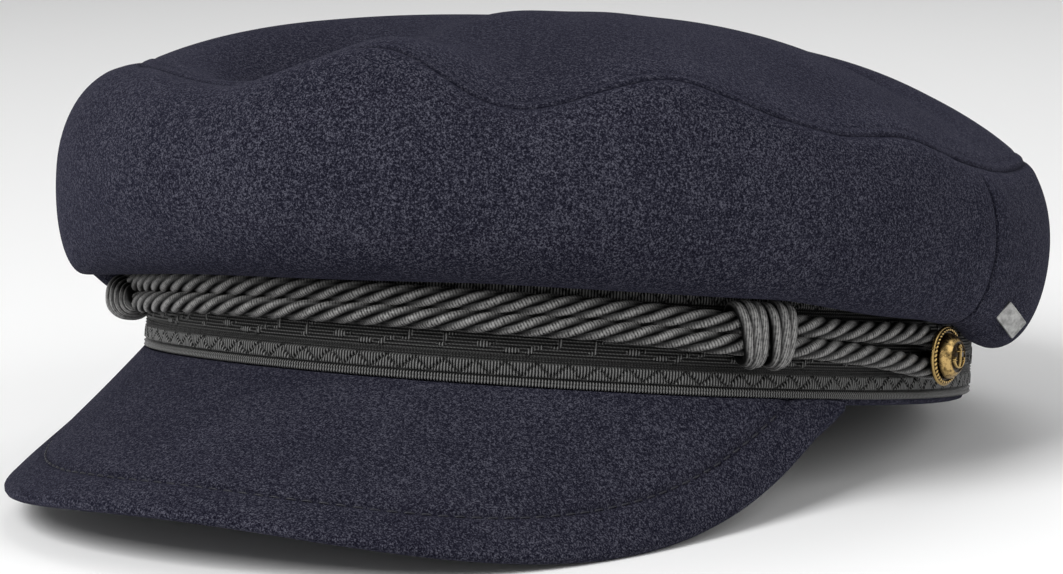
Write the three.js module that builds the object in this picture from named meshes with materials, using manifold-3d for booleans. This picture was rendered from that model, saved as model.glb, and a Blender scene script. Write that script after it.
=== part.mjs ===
// A soft sailor's cap of cashmere cloth: a full crown over a headband, with a woven trim,
// a twisted cord held by two buttons, and a cloth-covered peak.
// Millimetres, +Z up. The front of the cap is towards -Y and the wearer's left towards +X.
// The pieces are drawn in the cap's own frame, where z = 0 is the trim's lower edge, and the
// whole cap is then tipped back until it rests on its peak and the back of its headband.

import * as THREE from "three";
import { mergeVertices } from "three/addons/utils/BufferGeometryUtils.js";
import Module from "manifold-3d";

const wasm = await Module();
wasm.setup();

// Driving dimensions. The oval is the outer face of the trim, for a head of about 58 cm.
const OVAL_HALF_WIDTH = 87.5;
const OVAL_HALF_LENGTH = 103;
const OVAL_FRONT_FULLNESS = 0.05;
const GAP = 0.3;
const COLUMNS_AROUND = 64;

const TRIM_THICK = 1;
const TRIM_TOP = 23;
const BAND_THICK = 2.2;
const BAND_BOTTOM = -1.4;
const BAND_TOP = 27.2;

const CROWN_CLOTH = 2;
const CROWN_SEAM_ANGLE = 88.5;
const CROWN_EDGE_OUT = { inner: -3.2, outer: -1.1 };
const CROWN_FOLD = 3;
const TOP_MIDDLE = { x: 0, y: -4, z: 78.5 };
const TOP_PUFF = 3;

const PEAK_THICK = 2.6;
const PEAK_ROOT_OUT = -1;
const PEAK_ARC = 120;
const PEAK_DEPTH = 57;
const PEAK_TAPER = { start: 2.85, rightRoundness: 1.55, leftRoundness: 1.15 };
const PEAK_SPREAD = 0.4;
const PEAK_DROP = { front: 27.2, rightEnd: 66, leftEnd: 77 };

const CORD_RADIUS = 2.05;
const CORD_PLIES = 4;
const CORD_LAY = 22;
const CORD_SPANS = 47;
const CORD_ROUTE_STEPS = 2000;

const BUTTON_ANGLE = 90.5;
const BUTTON_UP = 9.2;
const BUTTON_STAND_OFF = 4.9;
const BUTTON_RADIUS = 6.4;
const SHANK_RADIUS = 0.7;
const BUTTON_SIDES = 18;
const RELIEF = 0.35;

const KNOT_ANGLE = { right: -52, left: 56.5 };
const KNOT_TURNS = 2;
const KNOT_PITCH = 6.6;
const KNOT_HALF_WIDTH = 3.05;
const KNOT_THICK = { front: 1.6, edge: 1.15, back: 1.15 };
const KNOT_CLEAR = 0.45;
const KNOT_SQUARENESS = 2.6;

const PLATE = { angle: 97.7, run: 2.49, turn: -20, yaw: -8, width: 9.8, height: 4.4, thick: 0.8, standOff: 0.25 };

const NAVY = 0x1d2233;
const TRIM_BLACK = 0x17171d;
const CORD_GREY = 0x2b2d36;
const OLD_BRASS = 0x6d6250;
const SATIN_SILVER = 0xa9a9a6;

const radians = THREE.MathUtils.degToRad;
const lerp = THREE.MathUtils.lerp;

// The crown's side, one row for each section round the head. Angles are degrees from the front
// towards the wearer's left. Out is from the trim's face and up is from its lower edge.
// The cloth hangs to (hangOut, hangUp), swells to (wideOut, wideUp), and its shoulder then
// turns through `turn` degrees on an arc `rise` high and `inward` deep, to the top seam.
const CROWN_SECTIONS = table(
  ["angle", "hangOut", "hangUp", "wideOut", "wideUp", "rise", "inward", "turn"],
  [
    [-180, 6, 12, 17, 34, 22.5, 13, 64],
    [-150, 6, 12, 18, 34, 27, 13, 64],
    [-122, 6, 12, 19, 35, 28.5, 13, 66],
    [-106, 6, 12, 20, 35, 27.5, 13, 67],
    [-97, 6, 12.4, 18.5, 36, 25.5, 13, 68],
    [-91, 6, 16.2, 18.5, 36, 25, 13, 68],
    [-86, 6.5, 16.8, 19, 36, 25, 13, 70],
    [-76, 8.5, 13, 18.5, 36, 25, 15, 76],
    [-65, 10, 9.5, 18.9, 37, 24.2, 16, 84],
    [-58, 13.9, 14.6, 19.9, 38, 23.5, 15.5, 88],
    [-45, 13.9, 14.8, 21.4, 38, 22, 14.5, 98],
    [-31, 8.6, 16, 22.5, 40, 19, 14, 105],
    [-10, 8.2, 18, 24, 40, 16, 13, 105],
    [0, 8, 18.7, 24, 40, 21, 12, 100],
    [11, 7, 19.4, 23, 39, 27, 12, 82],
    [25, 6, 20.1, 21, 38, 17, 12, 70],
    [42, 6, 20.1, 19, 38, 27, 12, 66],
    [49, 6.5, 20.1, 18, 37, 25, 12, 64],
    [57, 7, 20.2, 18, 36, 22, 12, 62],
    [64, 6.5, 19.2, 17.5, 35, 21, 12, 62],
    [72, 6, 17.8, 16.5, 35, 22, 12, 62],
    [86, 6, 16.8, 15.5, 34, 18.5, 12, 60],
    [91, 6, 16.3, 15.5, 33.5, 18, 12, 60],
    [97, 5.5, 12.4, 15.5, 33, 18, 12, 60],
    [106, 5.5, 11, 15.5, 33, 19, 12, 60],
    [125, 5.5, 10.8, 16, 33, 22.5, 12, 60],
    [150, 6, 11.4, 16, 33, 24, 12, 62],
  ],
);

// The soft dents and swellings of the crown's top: centre, half-sizes along and across, heading
// of the long axis from the front towards the wearer's left, and depth, below zero to swell.
const TOP_DENTS = table(
  ["x", "y", "along", "across", "heading", "depth"],
  [
    [-30, -86, 44, 22, -12, 17],
    [35, 16, 34, 10, 88, 4],
    [14, -84, 22, 14, 30, 5],
    [44, 56, 46, 30, 30, 1.5],
  ],
);

// The cord's two strands: the height of each, and how far its centre line stands off the trim.
const CORD_SECTIONS = table(
  ["angle", "upper", "lower", "out"],
  [
    [-90.5, 12.25, 6.15, 2.5],
    [-84.5, 13.6, 7, 2.5],
    [-74, 13.2, 8.4, 2.5],
    [-64, 13.2, 8.9, 2.6],
    [-57.5, 13.3, 9, 5.1],
    [-46.5, 13.5, 9.2, 5.1],
    [-40, 14.1, 9.8, 2.6],
    [-28, 15.1, 10.9, 2.5],
    [-15, 15.9, 11.7, 2.5],
    [12, 16.6, 12.4, 2.5],
    [34, 16.5, 12.3, 2.5],
    [44.5, 15.8, 11.6, 2.6],
    [51, 15.2, 10.9, 5.1],
    [62, 15, 10.7, 5.1],
    [68.5, 14.4, 10, 2.6],
    [75.5, 14.1, 9, 2.5],
    [84.5, 14, 7.2, 2.5],
    [90.5, 12.25, 6.15, 2.5],
  ],
);

// The button's profile, from the end of its shank to its middle: radius and height.
const BUTTON_PROFILE = [
  [0, GAP - BUTTON_STAND_OFF],
  [SHANK_RADIUS, GAP - BUTTON_STAND_OFF],
  [SHANK_RADIUS, 0],
  [5.4, 0],
  [BUTTON_RADIUS, 0.5],
  [BUTTON_RADIUS, 1],
  [5.9, 1.5],
  [5.3, 1.5],
  [5, 1.2],
  [4.6, 2.2],
  [3.6, 3.3],
  [2.1, 3.95],
  [0, 4.2],
];

function table(columns, rows) {
  return rows.map((row) => Object.fromEntries(columns.map((name, i) => [name, row[i]])));
}

// Reads a table at an angle in degrees, on a smooth curve through its rows. A closed table goes
// all the way round, and an open one keeps its end values.
function readTable(rows, angle, closed) {
  const n = rows.length;
  const first = rows[0].angle;
  const row = (i) => (closed ? rows[(i + n) % n] : rows[THREE.MathUtils.clamp(i, 0, n - 1)]);
  const place = (i) => row(i).angle + (closed ? 360 * Math.floor(i / n) : 0);
  const at = closed
    ? THREE.MathUtils.euclideanModulo(angle - first, 360) + first
    : THREE.MathUtils.clamp(angle, first, rows[n - 1].angle);
  let i = 0;
  while (i < n - (closed ? 1 : 2) && place(i + 1) <= at) i++;
  const span = place(i + 1) - place(i);
  const t = (at - place(i)) / span;
  const slope = (k, name) => {
    if (!closed && (k <= 0 || k >= n - 1)) return 0;
    const before = (row(k)[name] - row(k - 1)[name]) / (place(k) - place(k - 1));
    const after = (row(k + 1)[name] - row(k)[name]) / (place(k + 1) - place(k));
    return before * after <= 0 ? 0 : (2 * before * after) / (before + after);
  };
  const values = {};
  for (const name of Object.keys(rows[0])) {
    const start = (1 + 2 * t) * (1 - t) ** 2 * row(i)[name];
    const leave = t * (1 - t) ** 2 * span * slope(i, name);
    const end = t * t * (3 - 2 * t) * row(i + 1)[name];
    const arrive = t * t * (t - 1) * span * slope(i + 1, name);
    values[name] = start + leave + end + arrive;
  }
  return values;
}

// A point on the oval at an angle in degrees, `out` from the trim's face and `up` its lower edge.
function place(angle, out, up) {
  const at = (a) =>
    new THREE.Vector3(
      OVAL_HALF_WIDTH * Math.sin(a) * (1 + OVAL_FRONT_FULLNESS * Math.cos(a)),
      -OVAL_HALF_LENGTH * Math.cos(a),
      0,
    );
  const a = radians(angle);
  const along = at(a + 1e-4).sub(at(a - 1e-4)).normalize();
  return at(a).add(new THREE.Vector3(along.y * out, -along.x * out, up));
}

function outwards(angle) {
  return place(angle, 1, 0).sub(place(angle, 0, 0));
}

// The distance from the front along the oval, at every half degree.
const WALK_STEP = 0.5;
const WALK = [0];
for (let a = WALK_STEP; a <= 180; a += WALK_STEP) {
  WALK.push(WALK[WALK.length - 1] + place(a, 0, 0).distanceTo(place(a - WALK_STEP, 0, 0)));
}

function angleAfter(distance) {
  const d = Math.abs(distance);
  let i = 0;
  while (i < WALK.length - 2 && WALK[i + 1] < d) i++;
  return Math.sign(distance) * WALK_STEP * (i + (d - WALK[i]) / (WALK[i + 1] - WALK[i]));
}

function spread(from, to, count) {
  return Array.from({ length: count + 1 }, (_, i) => lerp(from, to, i / count));
}

function allRound() {
  return spread(-180, 180, COLUMNS_AROUND).slice(0, -1);
}

// A closed mesh from corners and faces, with corners that meet made one and empty faces dropped.
function closedMesh(corners, faces) {
  const g = new THREE.BufferGeometry();
  const numbers = corners.flatMap((p) => [p.x, p.y, p.z]);
  g.setAttribute("position", new THREE.Float32BufferAttribute(numbers, 3));
  g.setIndex(faces.flat());
  const merged = mergeVertices(g, 1e-3);
  const index = merged.index.array;
  const kept = [];
  for (let i = 0; i < index.length; i += 3) {
    const [a, b, c] = [index[i], index[i + 1], index[i + 2]];
    if (a !== b && b !== c && c !== a) kept.push(a, b, c);
  }
  merged.setIndex(kept);
  merged.computeVertexNormals();
  return merged;
}

// A wall between two grids of points, outer[row][column] and inner[row][column]. Columns run
// with the angle and rows upwards, so that the outer grid faces out. A grid that is closed
// goes all the way round, and one that ends in a point needs no face over its last row.
function wall(outer, inner, closed) {
  const rows = outer.length;
  const columns = outer[0].length;
  const faces = [];
  const out = (j, i) => j * columns + (i % columns);
  const inn = (j, i) => rows * columns + out(j, i);
  const quad = (a, b, c, d) => faces.push([a, b, c], [a, c, d]);
  const last = closed ? columns : columns - 1;
  const endsInPoint = outer[rows - 1][0].distanceTo(outer[rows - 1][1]) < 1e-6;
  for (let i = 0; i < last; i++) {
    for (let j = 0; j < rows - 1; j++) {
      quad(out(j, i), out(j, i + 1), out(j + 1, i + 1), out(j + 1, i));
      quad(inn(j, i + 1), inn(j, i), inn(j + 1, i), inn(j + 1, i + 1));
    }
    quad(out(0, i), inn(0, i), inn(0, i + 1), out(0, i + 1));
    if (!endsInPoint) {
      quad(out(rows - 1, i), out(rows - 1, i + 1), inn(rows - 1, i + 1), inn(rows - 1, i));
    }
  }
  if (!closed) {
    for (let j = 0; j < rows - 1; j++) {
      quad(out(j, 0), out(j + 1, 0), inn(j + 1, 0), inn(j, 0));
      quad(out(j, last), inn(j, last), inn(j + 1, last), out(j + 1, last));
    }
  }
  return closedMesh([...outer.flat(), ...inner.flat()], faces);
}

// A tube with closed ends, or one that closes on itself, from rings of points that run
// anticlockwise when seen along the tube.
function tube(rings, closed) {
  const sides = rings[0].length;
  const corners = rings.flat();
  const faces = [];
  const at = (j, i) => (j % rings.length) * sides + (i % sides);
  const steps = closed ? rings.length : rings.length - 1;
  for (let j = 0; j < steps; j++) {
    for (let i = 0; i < sides; i++) {
      faces.push([at(j, i), at(j + 1, i + 1), at(j, i + 1)], [at(j, i), at(j + 1, i), at(j + 1, i + 1)]);
    }
  }
  if (!closed) {
    for (let i = 1; i < sides - 1; i++) {
      faces.push([at(0, 0), at(0, i), at(0, i + 1)]);
      faces.push([at(steps, 0), at(steps, i + 1), at(steps, i)]);
    }
  }
  return closedMesh(corners, faces);
}

// A quarter of an ellipse between two points in a section, which leaves the first one level or
// upright, at a share of its sweep.
function quarter(from, to, share, leavesLevel) {
  const a = (share * Math.PI) / 2;
  const quick = Math.sin(a);
  const slow = 1 - Math.cos(a);
  return {
    out: lerp(from.out, to.out, leavesLevel ? quick : slow),
    up: lerp(from.up, to.up, leavesLevel ? slow : quick),
  };
}

// The crown's side at an angle. Run 0 to 1 lies on the headband's top edge and hangs down from it,
// 1 to 2 is the fold at the bottom, 2 to 3 swells out to the widest place, and 3 to 4 is the
// shoulder.
const EDGE_RUN = 0.15;
function crownSide(angle, run) {
  const s = readTable(CROWN_SECTIONS, angle, true);
  const edge = { out: CROWN_EDGE_OUT.outer, up: BAND_TOP + GAP };
  const hanging = { out: s.hangOut - CROWN_FOLD, up: s.hangUp + CROWN_FOLD };
  const fold = { out: s.hangOut, up: s.hangUp };
  const wide = { out: s.wideOut, up: s.wideUp };
  const turned = radians(s.turn) * (run - 3);
  let at = { out: wide.out - s.inward * (1 - Math.cos(turned)), up: wide.up + s.rise * Math.sin(turned) };
  if (run < EDGE_RUN) at = { out: lerp(CROWN_EDGE_OUT.inner, edge.out, run / EDGE_RUN), up: edge.up };
  else if (run < 1) at = quarter(edge, hanging, (run - EDGE_RUN) / (1 - EDGE_RUN), true);
  else if (run < 2) at = quarter(hanging, fold, run - 1, false);
  else if (run < 3) at = quarter(fold, wide, run - 2, true);
  return place(angle, at.out, at.up);
}

function dentAt(x, y) {
  let depth = 0;
  for (const dent of TOP_DENTS) {
    const h = radians(dent.heading);
    const along = (x - dent.x) * Math.sin(h) - (y - dent.y) * Math.cos(h);
    const across = (x - dent.x) * Math.cos(h) + (y - dent.y) * Math.sin(h);
    depth += dent.depth * Math.exp(-((along / dent.along) ** 2) - (across / dent.across) ** 2);
  }
  return depth;
}

// The whole crown: its side up to run 4, and its top from the seam to the middle, run 4 to 5.
const SEAM_RUN = 4;
const MIDDLE_RUN = 5;
function crown(angle, run) {
  if (run <= SEAM_RUN) return crownSide(angle, Math.max(run, 0));
  const seam = crownSide(angle, SEAM_RUN);
  const inward = Math.min(run - SEAM_RUN, 1);
  const x = lerp(seam.x, TOP_MIDDLE.x, inward);
  const y = lerp(seam.y, TOP_MIDDLE.y, inward);
  const swell = 1 - (1 - inward) ** TOP_PUFF;
  const slack = THREE.MathUtils.smoothstep(inward, 0, 0.25);
  return new THREE.Vector3(x, y, lerp(seam.z, TOP_MIDDLE.z, swell) - dentAt(x, y) * slack);
}

function crownNormal(angle, run) {
  const from = Math.max(run - 0.02, run > SEAM_RUN ? SEAM_RUN : 0);
  const along = crown(angle + 0.5, run).sub(crown(angle - 0.5, run));
  const up = crown(angle, run + 0.02).sub(crown(angle, from));
  return along.cross(up).normalize();
}

// The inner face of the crown's cloth. At the top seam both panels are cut on the same mitre.
const SEAM_BAND = 0.02;
function crownInside(angle, run) {
  if (run >= MIDDLE_RUN) return crown(angle, run).add(new THREE.Vector3(0, 0, -CROWN_CLOTH));
  let normal = crownNormal(angle, run);
  if (Math.abs(run - SEAM_RUN) < SEAM_BAND) {
    const sideNormal = crownNormal(angle, SEAM_RUN - 2 * SEAM_BAND);
    normal = crownNormal(angle, SEAM_RUN + 2 * SEAM_BAND).add(sideNormal).normalize();
  }
  return crown(angle, run).addScaledVector(normal, -CROWN_CLOTH);
}

function crownPanel(angles, runs, closed) {
  const outer = runs.map((run) => angles.map((angle) => crown(angle, run)));
  const inner = runs.map((run) => angles.map((angle) => crownInside(angle, run)));
  return wall(outer, inner, closed);
}

// The runs and angles at which the panels are drawn, and the narrow gaps left at their seams.
const TOP_SEAM_GAP = { below: 0.006, above: 0.0016 };
const SIDE_SEAM_HALF_GAP = 0.08;
const SIDE_RUNS = [0, EDGE_RUN, 0.5, 0.8, 1, 1.5, 2, 2.35, 2.7, 3, 3.4, 3.75, SEAM_RUN - TOP_SEAM_GAP.below];
const TOP_RUNS = [SEAM_RUN + TOP_SEAM_GAP.above, 4.06, 4.14, 4.24, 4.37, 4.53, 4.74, MIDDLE_RUN];

// The side panels meet at two seams, and the top panel's columns are the same as theirs.
function panelAngles(from, to) {
  return spread(from, to, Math.round((COLUMNS_AROUND * (to - from)) / 360));
}

const FRONT_ANGLES = panelAngles(-CROWN_SEAM_ANGLE, CROWN_SEAM_ANGLE);
const BACK_ANGLES = panelAngles(CROWN_SEAM_ANGLE, 360 - CROWN_SEAM_ANGLE);
const TOP_ANGLES = [...FRONT_ANGLES.slice(0, -1), ...BACK_ANGLES.slice(0, -1)];

function crownSidePanel(angles) {
  const first = angles[0] + SIDE_SEAM_HALF_GAP;
  const last = angles[angles.length - 1] - SIDE_SEAM_HALF_GAP;
  return crownPanel([first, ...angles.slice(1, -1), last], SIDE_RUNS, false);
}

// An upright ring on the oval, between two offsets and two heights.
function ring(inside, outside, bottom, top) {
  const side = (out) => [bottom, top].map((up) => allRound().map((angle) => place(angle, out, up)));
  return wall(side(outside), side(inside), true);
}

// The peak's upper face. Across runs from -1 to 1 along the headband, and depth from 0 at its
// root to 1 at its edge. It drops more steeply towards its ends.
function peakFace(across, depth) {
  const angle = angleAfter(across * PEAK_ARC);
  const root = place(angle, 0, -GAP);
  const roundness = across < 0 ? PEAK_TAPER.rightRoundness : PEAK_TAPER.leftRoundness;
  const taper = (1 - Math.abs(across) ** PEAK_TAPER.start) ** roundness;
  const reach = PEAK_DEPTH * Math.max(taper, 0) * depth;
  const normal = outwards(angle);
  const heading = Math.atan2(normal.x, -normal.y) * PEAK_SPREAD;
  const endDrop = across < 0 ? PEAK_DROP.rightEnd : PEAK_DROP.leftEnd;
  const drop = radians(lerp(PEAK_DROP.front, endDrop, across * across));
  root.x += reach * Math.cos(drop) * Math.sin(heading);
  root.y -= reach * Math.cos(drop) * Math.cos(heading);
  root.z -= reach * Math.sin(drop);
  return root;
}

// The peak is cut upright at its root and square to its face further out.
const PEAK_SQUARE_FROM = 12;
const PEAK_NORMAL_LIMIT = 0.97;
function peakNormal(across, depth) {
  const inside = THREE.MathUtils.clamp(across, -PEAK_NORMAL_LIMIT, PEAK_NORMAL_LIMIT);
  const along = peakFace(inside + 0.01, depth).sub(peakFace(inside - 0.01, depth));
  const out = peakFace(inside, 1).sub(peakFace(inside, 0));
  const reach = peakFace(across, depth).distanceTo(peakFace(across, 0));
  const square = Math.min(reach / PEAK_SQUARE_FROM, 1);
  return new THREE.Vector3(0, 0, 1).lerp(out.cross(along).normalize(), square).normalize();
}

// The peak's columns stand closer together towards its ends, and its edge is narrower than its
// cloth by the shares of the thickness given here.
const PEAK_COLUMNS = 40;
const PEAK_CROWDING = 0.8;
const PEAK_DEPTHS = [0, 0.25, 0.5, 0.75, 0.96, 1];
const PEAK_EDGE = { top: 0.22, bottom: 0.78 };
function peak() {
  const acrosses = spread(-1, 1, PEAK_COLUMNS).map((a) => Math.sign(a) * Math.abs(a) ** PEAK_CROWDING);
  const layer = (share, edgeShare) => {
    const face = (across, depth) => {
      const below = PEAK_THICK * (depth === 1 ? edgeShare : share);
      return peakFace(across, depth).addScaledVector(peakNormal(across, depth), -below);
    };
    const root = (across) => place(angleAfter(across * PEAK_ARC), PEAK_ROOT_OUT, -GAP - PEAK_THICK * share);
    const rows = PEAK_DEPTHS.map((depth) => acrosses.map((across) => face(across, depth)));
    return [acrosses.map(root), ...rows];
  };
  return wall(layer(1, PEAK_EDGE.bottom), layer(0, PEAK_EDGE.top), false);
}

// The cord is one closed loop: the upper strand, a turn round the left button's shank, the lower
// strand and a turn round the right one's. Its plies show as the corners of a turning section.
function cordRoute() {
  const strand = (name, angles) =>
    angles.map((angle) => {
      const s = readTable(CORD_SECTIONS, angle, false);
      return place(angle, s.out, s[name]);
    });
  const turn = (side) => {
    const s = readTable(CORD_SECTIONS, side * BUTTON_ANGLE, false);
    const radius = (s.upper - s.lower) / 2;
    const middle = place(side * BUTTON_ANGLE, s.out, (s.upper + s.lower) / 2);
    const along = outwards(side * BUTTON_ANGLE).cross(new THREE.Vector3(0, 0, -side));
    return [60, 30, 0, -30, -60].map((degrees) => {
      const a = radians(side * degrees);
      const out = middle.clone().addScaledVector(along, radius * Math.cos(a));
      return out.add(new THREE.Vector3(0, 0, radius * Math.sin(a)));
    });
  };
  const angles = spread(-BUTTON_ANGLE, BUTTON_ANGLE, CORD_SPANS);
  const upper = strand("upper", angles);
  const lower = strand("lower", [...angles].reverse());
  return new THREE.CatmullRomCurve3([...upper, ...turn(1), ...lower, ...turn(-1)], true);
}

function chinCord() {
  const route = cordRoute();
  route.arcLengthDivisions = CORD_ROUTE_STEPS;
  const stepsAPly = 2;
  const step = CORD_LAY / CORD_PLIES / stepsAPly;
  const steps = stepsAPly * Math.round(route.getLength() / step / stepsAPly);
  const rings = spread(0, 1, steps).slice(0, -1).map((share, j) => {
    const middle = route.getPointAt(share);
    const ahead = route.getTangentAt(share);
    const angle = THREE.MathUtils.radToDeg(Math.atan2(middle.x, -middle.y));
    const out = outwards(angle).projectOnPlane(ahead).normalize();
    const side = out.clone().cross(ahead);
    return spread(0, 1, CORD_PLIES).slice(0, -1).map((ply) => {
      const a = 2 * Math.PI * (ply + j / stepsAPly / CORD_PLIES);
      const corner = middle.clone().addScaledVector(out, CORD_RADIUS * Math.cos(a));
      return corner.addScaledVector(side, CORD_RADIUS * Math.sin(a));
    });
  });
  return tube(rings, true);
}

// A knot: one thin cord wound round both strands, flat against the trim at its back.
const KNOT_STEPS_A_TURN = 14;
function knot(middleAngle) {
  const s = readTable(CORD_SECTIONS, middleAngle, false);
  const clear = CORD_RADIUS + KNOT_CLEAR;
  const front = s.out + clear + KNOT_THICK.front;
  const back = s.out - clear - KNOT_THICK.back;
  const middle = { out: (front + back) / 2, up: (s.upper + s.lower) / 2 };
  const half = { out: (front - back) / 2, up: (s.upper - s.lower) / 2 + clear + KNOT_THICK.edge };
  const squared = (v) => Math.sign(v) * Math.abs(v) ** (2 / KNOT_SQUARENESS);
  const loop = (a) => ({
    out: middle.out - half.out * squared(Math.cos(a)),
    up: middle.up + half.up * squared(Math.sin(a)),
  });
  const steps = KNOT_TURNS * KNOT_STEPS_A_TURN;
  const rings = spread(0, KNOT_TURNS, steps).map((turns) => {
    const a = 2 * Math.PI * turns;
    const at = loop(a);
    const ahead = loop(a + 0.05);
    const behind = loop(a - 0.05);
    const slope = new THREE.Vector2(ahead.up - behind.up, behind.out - ahead.out).normalize();
    const facing = -Math.cos(a);
    const thick = lerp(KNOT_THICK.edge, facing > 0 ? KNOT_THICK.front : KNOT_THICK.back, Math.abs(facing));
    const distance = KNOT_PITCH * (turns - KNOT_TURNS / 2);
    return spread(0, 360, 8).slice(0, -1).map((degrees) => {
      const c = radians(degrees);
      const away = thick * Math.cos(c);
      const walk = distance + KNOT_HALF_WIDTH * Math.sin(c);
      const start = WALK[Math.round(Math.abs(middleAngle) / WALK_STEP)] * Math.sign(middleAngle);
      const angle = angleAfter(start + walk);
      return place(angle, at.out - away * slope.x, at.up - away * slope.y);
    });
  });
  return tube(rings, false);
}

function toManifold(geometry) {
  const bare = geometry.clone();
  bare.deleteAttribute("normal");
  bare.deleteAttribute("uv");
  const merged = mergeVertices(bare, 1e-4);
  return new wasm.Manifold(
    new wasm.Mesh({
      numProp: 3,
      vertProperties: new Float32Array(merged.attributes.position.array),
      triVerts: new Uint32Array(merged.index.array),
    }),
  );
}

function fromManifold(solid) {
  const mesh = solid.getMesh();
  const g = new THREE.BufferGeometry();
  g.setAttribute("position", new THREE.BufferAttribute(mesh.vertProperties, 3));
  g.setIndex(new THREE.BufferAttribute(mesh.triVerts, 1));
  g.computeVertexNormals();
  return g;
}

// The anchor on the button: an upright shaft, a crosswise stock, an eye and two curved arms
// between a lower arc and a shallower upper one. Sizes are from the button's middle.
const ANCHOR_SHAFT = { halfWidth: 0.34, halfHeight: 2.45, up: -0.25 };
const ANCHOR_STOCK = { halfWidth: 1.6, halfHeight: 0.3, up: 1.35 };
const ANCHOR_EYE = { up: 2.75, radius: 0.72, hole: 0.32 };
const ANCHOR_ARMS = {
  lower: { up: 0.1, radius: 3.1, sweep: 62 },
  upper: { up: 0.25, radius: 2.3, sweep: 52 },
  barb: { across: 1.75, up: -0.75 },
};
function anchorPieces() {
  const bar = ({ halfWidth, halfHeight, up }) => {
    const s = new THREE.Shape();
    s.moveTo(-halfWidth, up - halfHeight);
    s.lineTo(halfWidth, up - halfHeight);
    s.lineTo(halfWidth, up + halfHeight);
    s.lineTo(-halfWidth, up + halfHeight);
    s.closePath();
    return s;
  };
  const eye = new THREE.Shape();
  eye.absarc(0, ANCHOR_EYE.up, ANCHOR_EYE.radius, 0, 2 * Math.PI);
  eye.holes.push(new THREE.Path().absarc(0, ANCHOR_EYE.up, ANCHOR_EYE.hole, 0, 2 * Math.PI, true));
  const { lower, upper, barb } = ANCHOR_ARMS;
  const side = (sweep) => radians(-90 + sweep);
  const arms = new THREE.Shape();
  arms.absarc(0, lower.up, lower.radius, side(-lower.sweep), side(lower.sweep));
  arms.lineTo(barb.across, barb.up);
  arms.absarc(0, upper.up, upper.radius, side(upper.sweep), side(-upper.sweep), true);
  arms.lineTo(-barb.across, barb.up);
  arms.closePath();
  return [bar(ANCHOR_SHAFT), bar(ANCHOR_STOCK), eye, arms];
}

function lathed(profile) {
  const turned = new THREE.LatheGeometry(profile.map(([r, h]) => new THREE.Vector2(r, h)), BUTTON_SIDES);
  return turned.rotateX(Math.PI / 2);
}

function button() {
  const lift = BUTTON_PROFILE.map(([r, h]) => [r, h > 0 ? h + RELIEF : h]);
  const body = toManifold(lathed(BUTTON_PROFILE));
  let anchor = null;
  for (const shape of anchorPieces()) {
    const settings = { depth: BUTTON_RADIUS, bevelEnabled: false, curveSegments: 5 };
    const piece = toManifold(new THREE.ExtrudeGeometry(shape, settings).translate(0, 0, RELIEF));
    anchor = anchor ? anchor.add(piece) : piece;
  }
  return fromManifold(body.add(anchor.intersect(toManifold(lathed(lift)))));
}

function namedMesh(name, geometry, color, roughness, metalness) {
  const mesh = new THREE.Mesh(geometry, new THREE.MeshStandardMaterial({ color, roughness, metalness }));
  mesh.name = name;
  return mesh;
}

// A button stands on the trim with its face outwards and its anchor upright.
function placedButton(name, side) {
  const mesh = namedMesh(name, button(), OLD_BRASS, 0.42, 0.9);
  mesh.position.copy(place(side * BUTTON_ANGLE, BUTTON_STAND_OFF, BUTTON_UP));
  const out = outwards(side * BUTTON_ANGLE);
  const up = new THREE.Vector3(0, 0, 1);
  mesh.setRotationFromMatrix(new THREE.Matrix4().makeBasis(up.clone().cross(out), up, out));
  return mesh;
}

// The plate is a thin rectangle that stands on the crown's cloth behind the side seam. It is
// turned in its own plane, and then towards the front.
function placedPlate() {
  const { width, height, thick } = PLATE;
  const sheet = fromManifold(toManifold(new THREE.BoxGeometry(width, height, thick)));
  const mesh = namedMesh("side_plate", sheet, SATIN_SILVER, 0.35, 0.9);
  const normal = crownNormal(PLATE.angle, PLATE.run);
  const along = crown(PLATE.angle + 0.5, PLATE.run).sub(crown(PLATE.angle - 0.5, PLATE.run)).normalize();
  const up = normal.clone().cross(along);
  mesh.setRotationFromMatrix(new THREE.Matrix4().makeBasis(along, up, normal));
  mesh.rotateY(radians(PLATE.yaw));
  mesh.rotateZ(radians(PLATE.turn));
  mesh.position.copy(crown(PLATE.angle, PLATE.run)).addScaledVector(normal, PLATE.standOff + thick / 2);
  return mesh;
}

// The cap tips back until the lowest place of its peak is level with the headband's back.
function restAngle(peakGeometry) {
  const heel = place(180, -TRIM_THICK - GAP, BAND_BOTTOM);
  const corner = new THREE.Vector3();
  const corners = peakGeometry.attributes.position;
  let lean = 0;
  for (let i = 0; i < corners.count; i++) {
    corner.fromBufferAttribute(corners, i);
    lean = Math.max(lean, Math.atan2(heel.z - corner.z, heel.y - corner.y));
  }
  return lean;
}

const peakGeometry = peak();
const bandOut = -TRIM_THICK - GAP;
const tipped = new THREE.Group();
tipped.add(
  namedMesh("crown_front", crownSidePanel(FRONT_ANGLES), NAVY, 0.95, 0),
  namedMesh("crown_back", crownSidePanel(BACK_ANGLES), NAVY, 0.95, 0),
  namedMesh("crown_top", crownPanel(TOP_ANGLES, TOP_RUNS, true), NAVY, 0.95, 0),
  namedMesh("headband", ring(bandOut - BAND_THICK, bandOut, BAND_BOTTOM, BAND_TOP), NAVY, 0.95, 0),
  namedMesh("trim_band", ring(-TRIM_THICK, 0, 0, TRIM_TOP), TRIM_BLACK, 0.7, 0),
  namedMesh("peak", peakGeometry, NAVY, 0.95, 0),
  namedMesh("chin_cord", chinCord(), CORD_GREY, 0.5, 0),
  namedMesh("knot_right", knot(KNOT_ANGLE.right), CORD_GREY, 0.5, 0),
  namedMesh("knot_left", knot(KNOT_ANGLE.left), CORD_GREY, 0.5, 0),
  placedButton("button_right", -1),
  placedButton("button_left", 1),
  placedPlate(),
);
tipped.rotation.x = -restAngle(peakGeometry);

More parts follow.
